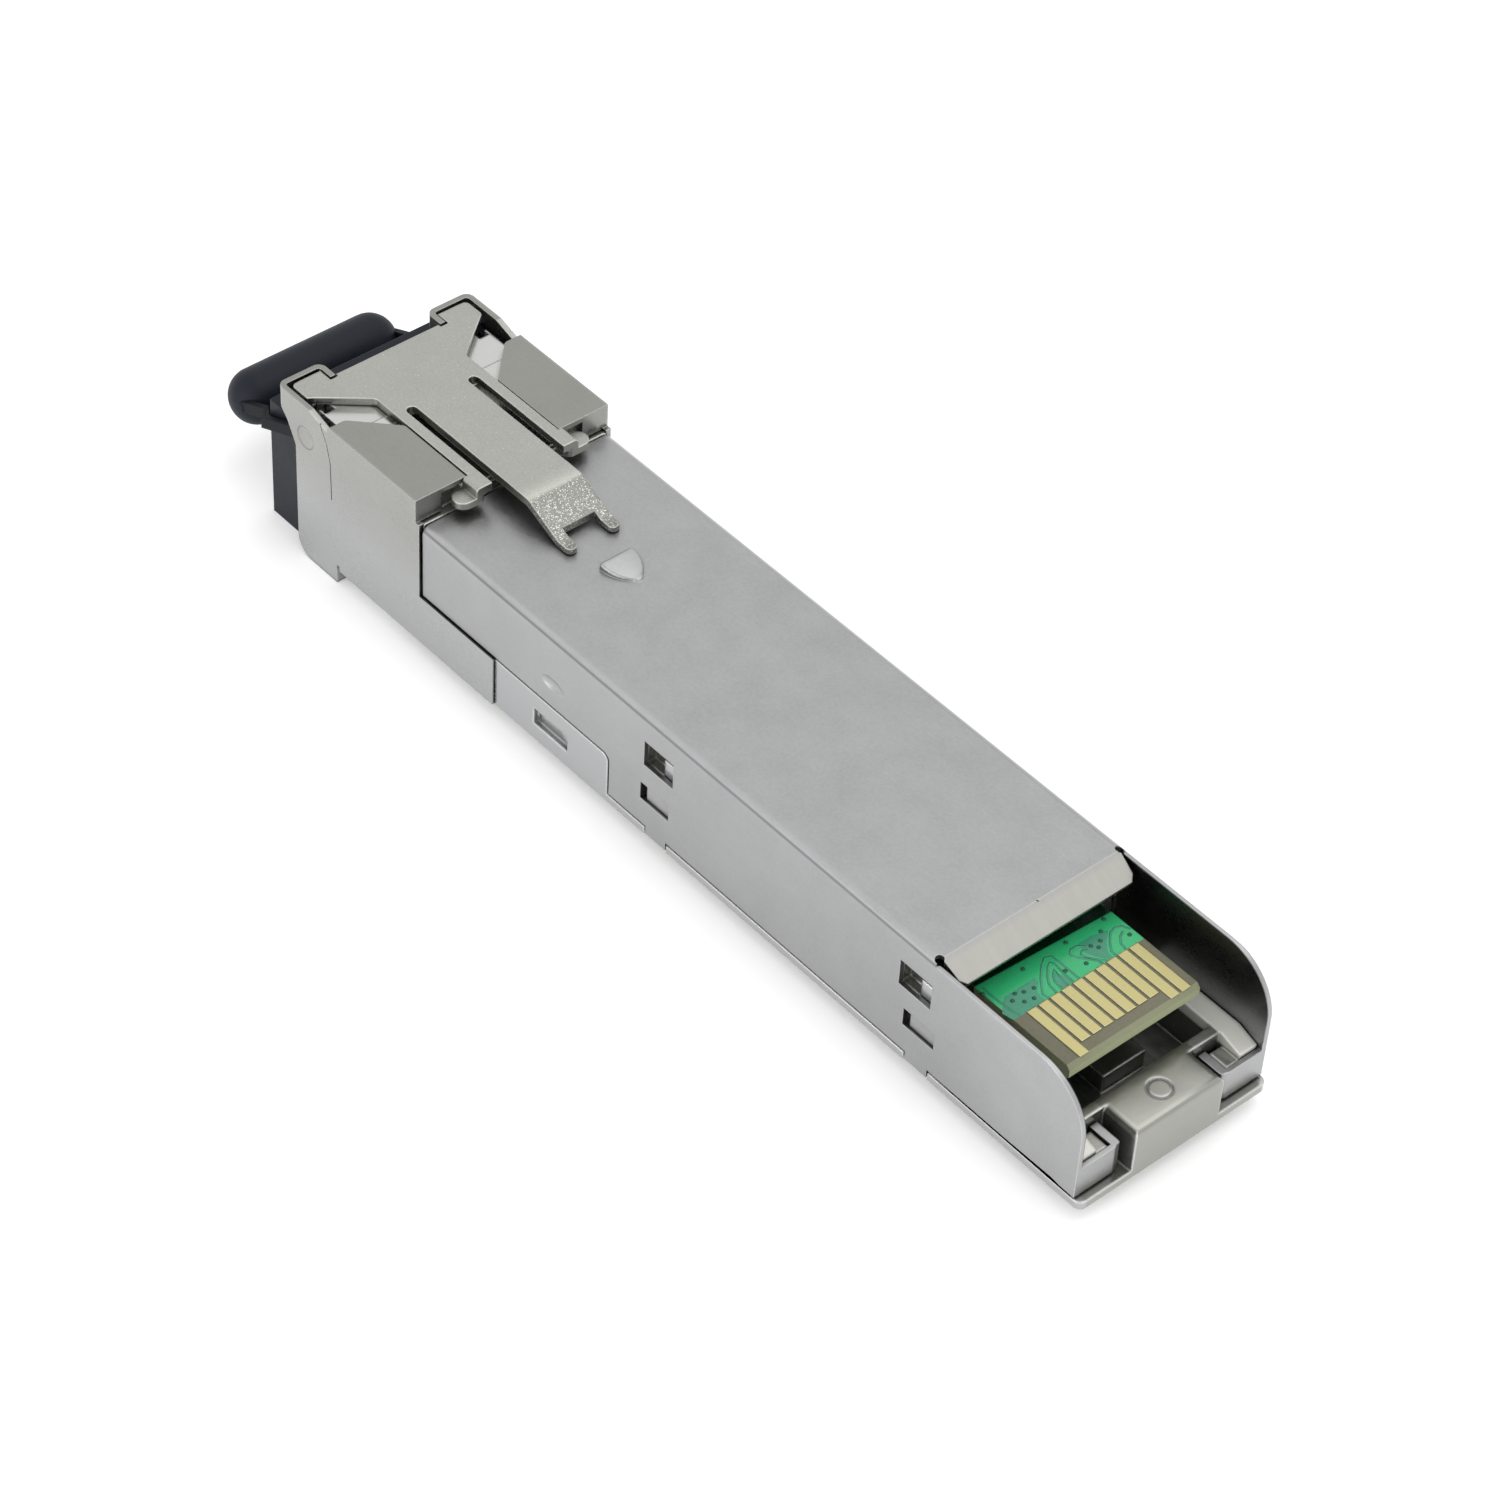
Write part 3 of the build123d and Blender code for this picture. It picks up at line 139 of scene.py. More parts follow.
# Tones that no setting changes
SCRATCH_TONE = (0.55, 0.55, 0.55)
WORN_TONE = (0.72, 0.72, 0.7)
WORN_CAST_TONE = (0.85, 0.85, 0.83)
WORN_LATCH_TONE = (0.78, 0.78, 0.74)
PAINTED_GLINT_TONE = (0.95, 0.95, 0.92)
FOLD_SHADE_TONE = (0.13, 0.13, 0.135)
FOLD_HIGHLIGHT_TONE = (0.7, 0.7, 0.7)
CHEEK_SHADE_TONE = (0.12, 0.12, 0.122)
SIDE_PAINTED_LIGHT_TONE = (0.45, 0.455, 0.47)
DECK_PAINTED_SHADE_TONE = (0.26, 0.26, 0.238)
DISH_RIM_SHADE_TONE = (0.09, 0.085, 0.075)
BLOCK_SHADE_TONE = (0.12, 0.12, 0.1)
WALL_PAINTED_LIGHT_TONE = (0.44, 0.445, 0.455)
RAIL_PAINTED_LIGHT_TONE = (0.62, 0.62, 0.57)
HOUSING_PAINTED_LIGHT_TONE = (0.66, 0.66, 0.645)
INSERT_TONE = (0.05, 0.055, 0.07)
TURNED_TONE = (0.5, 0.5, 0.5)
CAN_TONE = (0.66, 0.5, 0.22)
TIN_TONE = (0.6, 0.6, 0.6)
EPOXY_TONE = (0.02, 0.02, 0.022)
PAD_TONE = (0.28, 0.33, 0.4)
HOLE_TONE = (0.012, 0.09, 0.05)
CERAMIC_TONE = (0.78, 0.77, 0.72)
WHITE = (1.0, 1.0, 1.0)

# Where the dressed pieces follow the photograph more closely than the solids, in metres
FLANGE_START_X = 0.0076
FLANGE_TOP_Z = 0.00085
FLANGE_DROP = 0.00034
COVER_FOOT_Z = 0.001
COVER_FOOT_RUN = 0.0005
LIP_FOLD_X = 0.03335
LIP_TIP_X = 0.0346
LIP_SLOPE = 0.95 / 1.65
LIP_CUT = 0.07
LIP_NARROW = 0.985
CORNER_OLD = (0.044, 0.0057, 0.001)
CORNER_NEW = (0.04455, 0.00625, 0.00045)
WING_FRONT_X = -0.0206
WING_REACH = 0.0002
WING_INNER_Y = 0.0041
WING_OUTER_Y = 0.0058
WING_OUTER_Z = 0.0096
TAB_START_X = 0.0426
TAB_TOP_Z = 0.0031
TAB_DROP = 0.0005
TAB_REACH = 0.00022
TAB_INNER_Y = 0.0039
POST_START_X = 0.0428
POST_END_X = 0.0441
POST_DROP = 0.00045
POST_STEP_Z = 0.0027
POST_Y = 0.004
RETURN_X = (-0.02145, -0.02115)
RETURN_Y = (0.00625, 0.00656)
RETURN_FOOT_Z = 0.0089
RETURN_LIFT = 0.0001
NEAR = 0.00002
SHARP_ANGLE = math.radians(28)
MERGE_DISTANCE = 1e-7


def colour_property(label, words, value):
    ends = {"min": 0, "max": 1}
    return FloatVectorProperty(name=label, description=words, subtype="COLOR", size=3, default=value, **ends)


def length_property(label, words, value):
    return FloatProperty(name=label, description=words, unit="LENGTH", min=0, default=value, precision=6)


def power_property(label, words, value):
    return FloatProperty(name=label, description=words, min=0, default=value)


class FinishSettings(bpy.types.PropertyGroup):
    """Colours and surface sizes of the finishes."""

    sheet: colour_property("Cover sheet", "Nickel plating on the folded cover", (0.39, 0.392, 0.396))
    lip: colour_property("Cover lip", "Rubbed plating on the bent rear edge", (0.415, 0.41, 0.38))
    shroud: colour_property("Nose shroud", "Nickel plating on the nose shroud", (0.34, 0.34, 0.32))
    actuator: colour_property("Latch actuator", "Crystalline plating", (0.405, 0.407, 0.375))
    casting: colour_property("Base casting", "Plating on the die casting", (0.33, 0.33, 0.303))
    strip: colour_property("Bail strip", "Dipped steel strip of the bail", (0.005, 0.006, 0.009))
    rubber: colour_property("Grip rubber", "Moulded rubber of the bail grip", (0.010, 0.012, 0.020))
    moulding: colour_property("Receptacle", "Moulded plastic of the receptacle", (0.006, 0.008, 0.014))
    solder_mask: colour_property("Solder mask", "Mask over bare laminate", (0.032, 0.42, 0.16))
    copper: colour_property("Masked copper", "Mask where it lies over copper", (0.045, 0.27, 0.16))
    laminate: colour_property("Laminate", "Bare board laminate", (0.135, 0.128, 0.078))
    board_edge: colour_property("Board edge", "Cut edge of the board", (0.32, 0.35, 0.20))
    gold: colour_property("Gold", "Gold on the edge contacts", (0.49, 0.44, 0.21))
    edge_round: length_property("Edge round", "Radius at which metal edges catch the light", 0.00009)


class DetailSettings(bpy.types.PropertyGroup):
    """Sizes of the small fittings."""

    trace_width: length_property("Trace width", "Width of a copper trace", 0.00013)
    trace_height: length_property("Trace height", "Height of a trace under the mask", 0.000025)
    via_radius: length_property("Via radius", "Radius of a via's ring", 0.00013)
    cap_length: length_property("End cap", "Length of the tinned end of a chip part", 0.00022)
    fillet_radius: length_property("Solder fillet", "Foot radius of a solder fillet", 0.00042)


class StudioSettings(bpy.types.PropertyGroup):
    """Light and floor of the studio."""

    floor: colour_property("Floor", "Pale sweep that the part stands on", (0.93, 0.93, 0.93))
    key_power: power_property("Key", "Power of the large top lamp", 0.26)
    side_power: power_property("Side", "Power of the lamp on the near side", 0.29)
    rear_power: power_property("Rear", "Power of the lamp at the card edge", 0.07)
    ambient: power_property("Ambient", "Strength of the white surroundings", 0.95)
    floor_glow: power_property("Floor glow", "Added where a camera or reflection sees the floor", 0.2)


def finish():
    return bpy.context.scene.transceiver_finish


def detail():
    return bpy.context.scene.transceiver_detail


def studio():
    return bpy.context.scene.transceiver_studio


class Graph:
    """Adds nodes to a tree and joins them; a value that is a socket is linked, and any other is set."""

    def __init__(self, tree):
        self.tree = tree

    def add(self, kind, values=None, **settings):
        node = self.tree.nodes.new(kind)
        for name, value in settings.items():
            setattr(node, name, value)
        for key, value in (values or {}).items():
            if isinstance(value, bpy.types.NodeSocket):
                self.tree.links.new(value, node.inputs[key])
            else:
                node.inputs[key].default_value = value
        return node

    def out(self, kind, values=None, **settings):
        return self.add(kind, values, **settings).outputs[0]

    def place(self):
        return self.add("ShaderNodeTexCoord").outputs["Object"]

    def math(self, operation, a, b=0.0, clamp=False):
        return self.out("ShaderNodeMath", {0: a, 1: b}, operation=operation, use_clamp=clamp)

    def product(self, first, *others):
        for other in others:
            first = self.math("MULTIPLY", first, other)
        return first

    def span(self, value, low, high, to_low=0.0, to_high=1.0):
        ranges = {"Value": value, "From Min": low, "From Max": high, "To Min": to_low, "To Max": to_high}
        return self.out("ShaderNodeMapRange", ranges)

    def noise(self, vector, scale, fine=2.0, rough=0.5):
        values = {"Vector": vector, "Scale": scale, "Detail": fine, "Roughness": rough}
        return self.add("ShaderNodeTexNoise", values).outputs["Fac"]

    def blend(self, factor, a, b):
        values = {0: factor, 6: solid(a), 7: solid(b)}
        return self.add("ShaderNodeMix", values, data_type="RGBA").outputs[2]

    def scaled(self, colour, factor):
        if not isinstance(colour, bpy.types.NodeSocket):
            colour = colour[:3]
        return self.out("ShaderNodeVectorMath", {0: colour, "Scale": factor}, operation="SCALE")


def solid(colour):
    """A colour at full strength; a socket stays as it is."""
    return colour if isinstance(colour, bpy.types.NodeSocket) else (*colour[:3], 1.0)


FLOAT, COLOUR, VECTOR = "NodeSocketFloat", "NodeSocketColor", "NodeSocketVector"
MATERIAL = "NodeSocketMaterial"


def shader_group(name, inputs, outputs, build):
    """A shader node group with named sockets, built once."""
    tree = bpy.data.node_groups.get(name)
    if tree:
        return tree
    tree = bpy.data.node_groups.new(name, "ShaderNodeTree")
    for label, kind, value in inputs:
        socket = tree.interface.new_socket(label, in_out="INPUT", socket_type=kind)
        socket.default_value = value
    for label, kind in outputs:
        tree.interface.new_socket(label, in_out="OUTPUT", socket_type=kind)
    graph = Graph(tree)
    entry = graph.add("NodeGroupInput").outputs
    graph.add("NodeGroupOutput", build(graph, entry))
    return tree


def satin_grain():
    """Fine grain over broad mottling: a plated or moulded skin seen close."""

    def build(g, entry):
        place = g.place()
        fine = g.noise(place, entry["Grain Scale"], 2.0)
        broad = g.noise(place, entry["Mottle Scale"], 3.0, 0.6)
        both = g.math("ADD", g.math("SUBTRACT", fine, 0.5), g.math("SUBTRACT", broad, 0.5))
        tone = g.math("ADD", g.product(both, entry["Contrast"]), 1.0)
        rough = g.math("ADD", g.product(both, entry["Rough Spread"]), entry["Roughness"])
        return {"Colour": g.scaled(entry["Colour"], tone), "Roughness": rough, "Height": fine}

    inputs = [
        ("Colour", COLOUR, (0.5, 0.5, 0.5, 1.0)), ("Grain Scale", FLOAT, 9000.0),
        ("Mottle Scale", FLOAT, 350.0), ("Contrast", FLOAT, 0.1),
        ("Roughness", FLOAT, 0.35), ("Rough Spread", FLOAT, 0.15),
    ]
    outputs = [("Colour", COLOUR), ("Roughness", FLOAT), ("Height", FLOAT)]
    return shader_group("satin_grain", inputs, outputs, build)


def soft_edge():
    """Rounds the shading of edges and lays a fine relief over it."""

    def build(g, entry):
        rounded = g.out("ShaderNodeBevel", {"Radius": entry["Edge Radius"]}, samples=6)
        relief = {"Height": entry["Height"], "Distance": entry["Relief"], "Normal": rounded, "Strength": 1.0}
        return {"Normal": g.out("ShaderNodeBump", relief)}

    inputs = [("Edge Radius", FLOAT, 0.0001), ("Height", FLOAT, 0.5), ("Relief", FLOAT, 0.000004)]
    return shader_group("soft_edge", inputs, [("Normal", VECTOR)], build)


def edge_wear():
    """A mask of edges and corners, where plating is polished bright."""

    def build(g, entry):
        rounded = g.out("ShaderNodeBevel", {"Radius": entry["Edge Radius"]}, samples=6)
        flat = g.add("ShaderNodeNewGeometry").outputs["Normal"]
        dot = g.add("ShaderNodeVectorMath", {0: rounded, 1: flat}, operation="DOT_PRODUCT").outputs["Value"]
        turned = g.math("SUBTRACT", 1.0, dot)
        mask = g.math("MULTIPLY", g.span(turned, 0.01, 0.16), entry["Amount"], clamp=True)
        return {"Mask": mask}

    inputs = [("Edge Radius", FLOAT, 0.0001), ("Amount", FLOAT, 0.6)]
    return shader_group("edge_wear", inputs, [("Mask", FLOAT)], build)


def handling_marks():
    """Faint lengthwise scratches and smudges."""

    def build(g, entry):
        place = g.place()
        stretch = g.out("ShaderNodeMapping", {"Vector": place, "Scale": (0.06, 1.0, 1.0)})
        lines = g.span(g.noise(stretch, entry["Scale"], 1.0), 0.62, 0.72)
        smudge = g.span(g.noise(place, 160.0, 2.0), 0.45, 0.75)
        return {"Mask": g.math("MULTIPLY", lines, smudge, clamp=True)}

    return shader_group("handling_marks", [("Scale", FLOAT, 7000.0)], [("Mask", FLOAT)], build)


def crystal_facets():
    """Small flat facets of a crystalline plating, each with its own brightness; a few of them carry a
    painted glint.
    """

    def build(g, entry):
        place = g.place()
        cells = g.add("ShaderNodeTexVoronoi", {"Vector": place, "Scale": entry["Scale"]})
        levels = g.add("ShaderNodeSeparateColor", {"Color": cells.outputs["Color"]}).outputs
        spread = g.product(g.math("SUBTRACT", levels[0], 0.5), entry["Spread"])
        painted_glint = g.math("GREATER_THAN", levels[1], g.math("SUBTRACT", 1.0, entry["Share"]))
        return {"Tone": g.math("ADD", spread, 1.0), "Height": levels[0], "Flash": painted_glint}

    inputs = [("Scale", FLOAT, 24000.0), ("Spread", FLOAT, 0.1), ("Share", FLOAT, 0.01)]
    outputs = [("Tone", FLOAT), ("Height", FLOAT), ("Flash", FLOAT)]
    return shader_group("crystal_facets", inputs, outputs, build)


def crevice_shade():
    """Darkens gaps, corners and what lies close under another piece."""

    def build(g, entry):
        open_sky = g.add("ShaderNodeAmbientOcclusion", {"Distance": entry["Reach"]}, samples=8).outputs["AO"]
        closed = g.span(open_sky, 0.1, entry["Clear"], 1.0, 0.0)
        return {"Shade": g.math("SUBTRACT", 1.0, g.product(closed, entry["Depth"]))}

    inputs = [("Reach", FLOAT, 0.0006), ("Clear", FLOAT, 0.85), ("Depth", FLOAT, 0.8)]
    return shader_group("crevice_shade", inputs, [("Shade", FLOAT)], build)


def new_material(name):
    """An empty node material and its graph."""
    material = bpy.data.materials.new(name)
    material.use_nodes = True
    material.node_tree.nodes.clear()
    return material, Graph(material.node_tree)


def surface(g, values):
    """The material's one shader and its output."""
    g.add("ShaderNodeOutputMaterial", {"Surface": g.out("ShaderNodeBsdfPrincipled", values)})


def placed(g, tree, values=None):
    """The outputs of a shader group put into a material."""
    return g.add("ShaderNodeGroup", values, node_tree=tree).outputs


def soft_normal(g, radius, height, relief):
    """The normal of rounded edges with a fine relief over them."""
    values = {"Edge Radius": radius, "Height": height, "Relief": relief}
    return placed(g, soft_edge(), values)["Normal"]


def object_axis(g, axis):
    """A coordinate of the part's own frame."""
    return g.add("ShaderNodeSeparateXYZ", {0: g.place()}).outputs[axis]


def past(g, value, place):
    """One past a place and nothing before it."""
    return g.span(value, place, place + BLEND_RUN)


def short_of(g, value, place):
    """One before a place and nothing past it."""
    return g.span(value, place, place + BLEND_RUN, 1.0, 0.0)


def line_mask(g, value, middle, half):
    """One at a value, fading to nothing at half a width from it."""
    away = g.math("ABSOLUTE", g.math("SUBTRACT", value, middle))
    return g.span(away, 0.0, half, 1.0, 0.0)


def plated_material(
    name, colour, roughness, contrast=0.1, relief=0.000003, worn=0.5, reach=0.0004, tint=None
):
    """Nickel plating on sheet: satin grain, worn edges, faint marks and painted shade in crevices; tint adds
    painted light and shade at some places and recolours others.
    """
    radius = finish().edge_round
    material, g = new_material(name)
    skin = {"Colour": solid(colour), "Contrast": contrast, "Roughness": roughness, "Grain Scale": 5200.0}
    grain = placed(g, satin_grain(), skin)
    marks = placed(g, handling_marks())
    wear = placed(g, edge_wear(), {"Edge Radius": radius, "Amount": worn})["Mask"]
    tone = g.blend(g.product(marks["Mask"], 0.15), grain["Colour"], SCRATCH_TONE)
    tone = g.blend(wear, tone, WORN_TONE)
    rough = g.math("SUBTRACT", grain["Roughness"], g.product(wear, 0.1))
    if tint:
        tone, rough = tint(g, tone, rough)
    tone = g.scaled(tone, placed(g, crevice_shade(), {"Reach": reach})["Shade"])
    normal = soft_normal(g, radius, grain["Height"], relief)
    surface(g, {"Base Color": tone, "Metallic": 1.0, "Roughness": rough, "Normal": normal})
    return material


def cover_tint(g, tone, rough):
    """Painted shade with a painted highlight along the fold lines, a warm streaked lip at the rear, painted
    shade with a dark painted reflection inside the cheeks, and painted shade that darkens the cover towards
    the rear.
    """
    x, y, z = (object_axis(g, axis) for axis in ("X", "Y", "Z"))
    aside = g.math("ABSOLUTE", y)
    # Painted shade: the cover darkens towards the rear and comes back to full tone on the lip
    rear_shade = g.math("ADD", g.span(x, *COVER_FADE_X, 0.97, 0.9), g.span(x, *LIP_FADE_X, 0.0, 0.1))
    tone = g.scaled(tone, rear_shade)
    rear = past(g, x, LIP_START_X)
    narrow = short_of(g, aside, LIP_HALF_Y)
    wide = g.math("SUBTRACT", 1.0, narrow)
    before = g.product(wide, g.math("SUBTRACT", 1.0, rear))
    # Painted shade along the fold line, with a painted highlight just above it
    line = line_mask(g, z, FOLD_LINE_Z, FOLD_LINE_HALF)
    tone = g.blend(g.product(line, before, 0.85), tone, FOLD_SHADE_TONE)
    light = line_mask(g, z, FOLD_HIGHLIGHT_Z, FOLD_LINE_HALF)
    tone = g.blend(g.product(light, before, 0.3), tone, FOLD_HIGHLIGHT_TONE)
    start = g.span(x, LIP_START_X - 2 * BLEND_RUN, LIP_START_X + 3 * BLEND_RUN)
    lip = g.product(start, narrow, past(g, z, LIP_LOW_Z))
    streaks = g.out("ShaderNodeMapping", {"Vector": g.place(), "Scale": (0.1, 1.0, 0.1)})
    warm = g.scaled(solid(finish().lip), g.span(g.noise(streaks, 2400.0), 0.2, 0.8, 0.96, 1.04))
    tone = g.blend(lip, tone, warm)
    # Painted shade and a dark painted reflection on the inside of the cheeks, weaker towards the rear and
    # the bottom, with slightly lower roughness there
    inner = g.span(aside, COVER_INNER_Y - 2 * NEAR, COVER_INNER_Y, 1.0, 0.0)
    dark = g.product(rear, inner, wide, past(g, z, CHEEK_LOW_Z))
    fade = g.span(g.math("SUBTRACT", x, z), *CHEEK_FADE, 1.0, 0.72)
    low = g.span(z, *CHEEK_FADE_Z, 0.55, 1.0)
    tone = g.blend(g.product(dark, fade, low), tone, CHEEK_SHADE_TONE)
    return tone, g.math("SUBTRACT", rough, g.product(dark, 0.08))


def shroud_tint(g, tone, rough):
    """A painted shade line round each pivot dish, painted light that makes the outer sides lighter and
    cooler towards the bottom, and painted shade on what stands above deck height.
    """
    x, y, z = (object_axis(g, axis) for axis in ("X", "Y", "Z"))
    # Painted light: the outer sides grow lighter and cooler towards the bottom
    side = g.span(g.math("ABSOLUTE", y), SIDE_Y, SIDE_Y + 0.5 * BLEND_RUN)
    low = g.span(z, *SIDE_FADE_Z, 0.65, 0.0)
    tone = g.blend(g.product(side, low), tone, SIDE_PAINTED_LIGHT_TONE)
    # Painted shade on the flaps and everything else above deck height, away from the outer sides
    deck_shade = g.product(g.math("SUBTRACT", 1.0, side), past(g, z, DECK_Z), 0.5)
    tone = g.blend(deck_shade, tone, DECK_PAINTED_SHADE_TONE)
    # Painted shade: a dark ring line round each pivot dish
    along = g.math("SUBTRACT", x, DISH_X)
    over = g.math("SUBTRACT", z, DISH_Z)
    away = g.math("SQRT", g.math("ADD", g.product(along, along), g.product(over, over)))
    rim = g.product(line_mask(g, away, DISH_RIM, DISH_RIM_HALF), 0.6)
    return g.blend(rim, tone, DISH_RIM_SHADE_TONE), rough


def crystalline_material(name, colour):
    """Sparkling plating of the latch actuator: few painted glints on the plate, many on its bent tongue,
    which is darkened by painted shade.
    """
    radius = finish().edge_round * 1.4
    material, g = new_material(name)
    tongue = g.span(object_axis(g, "X"), TONGUE_START_X, TONGUE_START_X + 2 * BLEND_RUN)
    share = g.span(tongue, 0.0, 1.0, 0.004, 0.07)
    facets = placed(g, crystal_facets(), {"Share": share, "Spread": g.span(tongue, 0.0, 1.0, 0.2, 0.55)})
    skin = {"Colour": solid(colour), "Contrast": 0.12, "Roughness": 0.34, "Rough Spread": 0.15}
    grain = placed(g, satin_grain(), skin)
    wear = placed(g, edge_wear(), {"Edge Radius": radius, "Amount": 0.6})["Mask"]
    # Painted shade: the bent tongue is darkened to six tenths of the plate's tone
    tone = g.scaled(grain["Colour"], g.product(facets["Tone"], g.span(tongue, 0.0, 1.0, 1.0, 0.6)))
    tone = g.blend(wear, tone, WORN_LATCH_TONE)
    # Painted glints: a few facets, more of them on the tongue, are turned nearly white
    tone = g.blend(g.product(facets["Flash"], g.span(tongue, 0.0, 1.0, 0.45, 0.8)), tone, PAINTED_GLINT_TONE)
    tone = g.scaled(tone, placed(g, crevice_shade(), {"Reach": 0.0003, "Depth": 0.6})["Shade"])
    relief = g.span(tongue, 0.0, 1.0, 0.0000015, 0.000006)
    normal = soft_normal(g, radius, facets["Height"], relief)
    surface(g, {"Base Color": tone, "Metallic": 1.0, "Roughness": grain["Roughness"], "Normal": normal})
    return material


def casting_tint(g, tone):
    """Painted light on the tops of the rails, painted shade on the rear block, painted light that makes the
    outer side walls lighter and cooler, and painted light on the housing under the latch plate.
    """
    x, y, z = (object_axis(g, axis) for axis in ("X", "Y", "Z"))
    aside = g.math("ABSOLUTE", y)
    # Painted shade over the front of the rear block, fading out towards its back
    rear = past(g, x, RAIL_X)
    block = g.product(rear, short_of(g, aside, BLOCK_Y))
    shade = g.span(x, *BLOCK_FADE_X, 0.5, 0.0)
    tone = g.blend(g.product(block, shade), tone, BLOCK_SHADE_TONE)
    # Painted light: the outer side walls are made lighter and cooler
    wall = g.span(aside, WALL_Y - BLEND_RUN, WALL_Y)
    tone = g.blend(g.product(wall, 0.85), tone, WALL_PAINTED_LIGHT_TONE)
    # Painted light on the tops of the rails, standing in for their bright reflection
    top = g.span(z, RAIL_TOP_Z - 8 * BLEND_RUN, RAIL_TOP_Z - 6 * BLEND_RUN)
    rail_light = g.product(rear, g.span(aside, RAIL_Y - BLEND_RUN, RAIL_Y), top)
    tone = g.blend(rail_light, tone, RAIL_PAINTED_LIGHT_TONE)
    # Painted light: the housing under the latch plate is made bright where it lies in shade
    housing_light = g.product(short_of(g, x, HOUSING_X), past(g, aside, HOUSING_Y))
    return g.blend(g.product(housing_light, 0.8), tone, HOUSING_PAINTED_LIGHT_TONE), rail_light


def cast_material(name, colour):
    """Plated die casting: glossy, with soft bright edges and a faint orange-peel skin."""
    radius = finish().edge_round * 2.4
    material, g = new_material(name)
    skin = {
        "Colour": solid(colour), "Contrast": 0.1, "Roughness": 0.22, "Rough Spread": 0.15,
        "Mottle Scale": 500.0, "Grain Scale": 1500.0,
    }
    grain = placed(g, satin_grain(), skin)
    wear = placed(g, edge_wear(), {"Edge Radius": radius, "Amount": 0.75})["Mask"]
    tinted, rail_light = casting_tint(g, grain["Colour"])
    tone = g.blend(wear, tinted, WORN_CAST_TONE)
    tone = g.scaled(tone, placed(g, crevice_shade(), {"Reach": 0.0005, "Depth": 0.65})["Shade"])
    normal = soft_normal(g, radius, grain["Height"], 0.000004)
    # Where the rail tops carry painted light they are mostly non-metal, so that their pale colour shows
    metal = g.span(rail_light, 0.0, 1.0, 0.85, 0.15)
    surface(g, {"Base Color": tone, "Metallic": metal, "Roughness": grain["Roughness"], "Normal": normal})
    return material


def moulded_material(name, colour, roughness, relief=0.000006, radius=0.00012, specular=0.4, rubbed=0.35):
    """Moulded plastic or rubber with a fine spark-eroded grain and rubbed edges."""
    material, g = new_material(name)
    skin = {"Colour": solid(colour), "Contrast": 0.35, "Roughness": roughness, "Grain Scale": 7000.0}
    grain = placed(g, satin_grain(), skin)
    wear = placed(g, edge_wear(), {"Edge Radius": radius, "Amount": rubbed})["Mask"]
    pale = tuple(min(1.0, c * 2.6 + 0.01) for c in colour)
    tone = g.blend(wear, grain["Colour"], pale)
    normal = soft_normal(g, radius, grain["Height"], relief)
    values = {"Base Color": tone, "Roughness": grain["Roughness"], "Specular IOR Level": specular}
    surface(g, {**values, "Normal": normal})
    return material


def board_material(name):
    """Glossy mask over laminate, ending where the edge contacts start, with painted shade near other pieces
    and a painted shadow under the lip's edge.
    """
    colours = finish()
    material, g = new_material(name)
    x = object_axis(g, "X")
    up = g.add("ShaderNodeSeparateXYZ", {0: g.add("ShaderNodeNewGeometry").outputs["Normal"]}).outputs["Z"]
    face = g.span(g.math("ABSOLUTE", up), 0.6, 0.8)
    masked = g.product(g.span(x, MASK_END_X - NEAR, MASK_END_X, 1.0, 0.0), face)
    skin = {"Colour": solid(colours.solder_mask), "Contrast": 0.25, "Roughness": 0.2, "Mottle Scale": 420.0}
    mask_skin = placed(g, satin_grain(), skin)
    bare = {"Colour": solid(colours.laminate), "Contrast": 0.35, "Roughness": 0.4, "Grain Scale": 5200.0}
    laminate = placed(g, satin_grain(), bare)
    edge_tone = g.blend(face, solid(colours.board_edge), laminate["Colour"])
    tone = g.blend(masked, edge_tone, mask_skin["Colour"])
    rough = g.math("SUBTRACT", laminate["Roughness"], g.product(masked, 0.2))
    shade = placed(g, crevice_shade(), {"Reach": 0.0022, "Clear": 0.7, "Depth": 0.75})["Shade"]
    tone = g.scaled(tone, shade)
    # Painted shadow: the board is nearly black where it runs under the lip's edge
    lip_shadow_edge = g.math("SUBTRACT", x, g.product(object_axis(g, "Y"), LIP_SHADOW_SLOPE))
    tone = g.scaled(tone, g.span(lip_shadow_edge, LIP_SHADOW_X, LIP_SHADOW_X + BLEND_RUN, 0.04, 1.0))
    normal = soft_normal(g, 0.00008, laminate["Height"], 0.000006)
    surface(g, {"Base Color": tone, "Roughness": rough, "Normal": normal})
    return material


def trace_material(name):
    """Solder mask where it lies over copper."""
    return moulded_material(name, tuple(finish().copper), 0.22, 0.000002, 0.00003, 0.5)


def precious_material(name, colour, roughness=0.28):
    """Plated gold or tin with light wipe marks."""
    return plated_material(name, colour, roughness, contrast=0.08, relief=0.000001, worn=0.25)


def ceramic_material(name):
    material, g = new_material(name)
    skin = {"Colour": solid(CERAMIC_TONE), "Contrast": 0.05, "Roughness": 0.18, "Rough Spread": 0.08}
    grain = placed(g, satin_grain(), skin)
    normal = soft_normal(g, 0.00006, grain["Height"], 0.000001)
    values = {"Base Color": grain["Colour"], "Roughness": grain["Roughness"], "Coat Weight": 0.3}
    surface(g, {**values, "Normal": normal})
    return material


def white_rays(g):
    """One where a camera, reflected or refracted ray arrives, and nothing for light."""
    rays = g.add("ShaderNodeLightPath").outputs
    seen = g.math("MAXIMUM", rays["Is Camera Ray"], rays["Is Glossy Ray"])
    return g.math("MAXIMUM", seen, rays["Is Transmission Ray"])


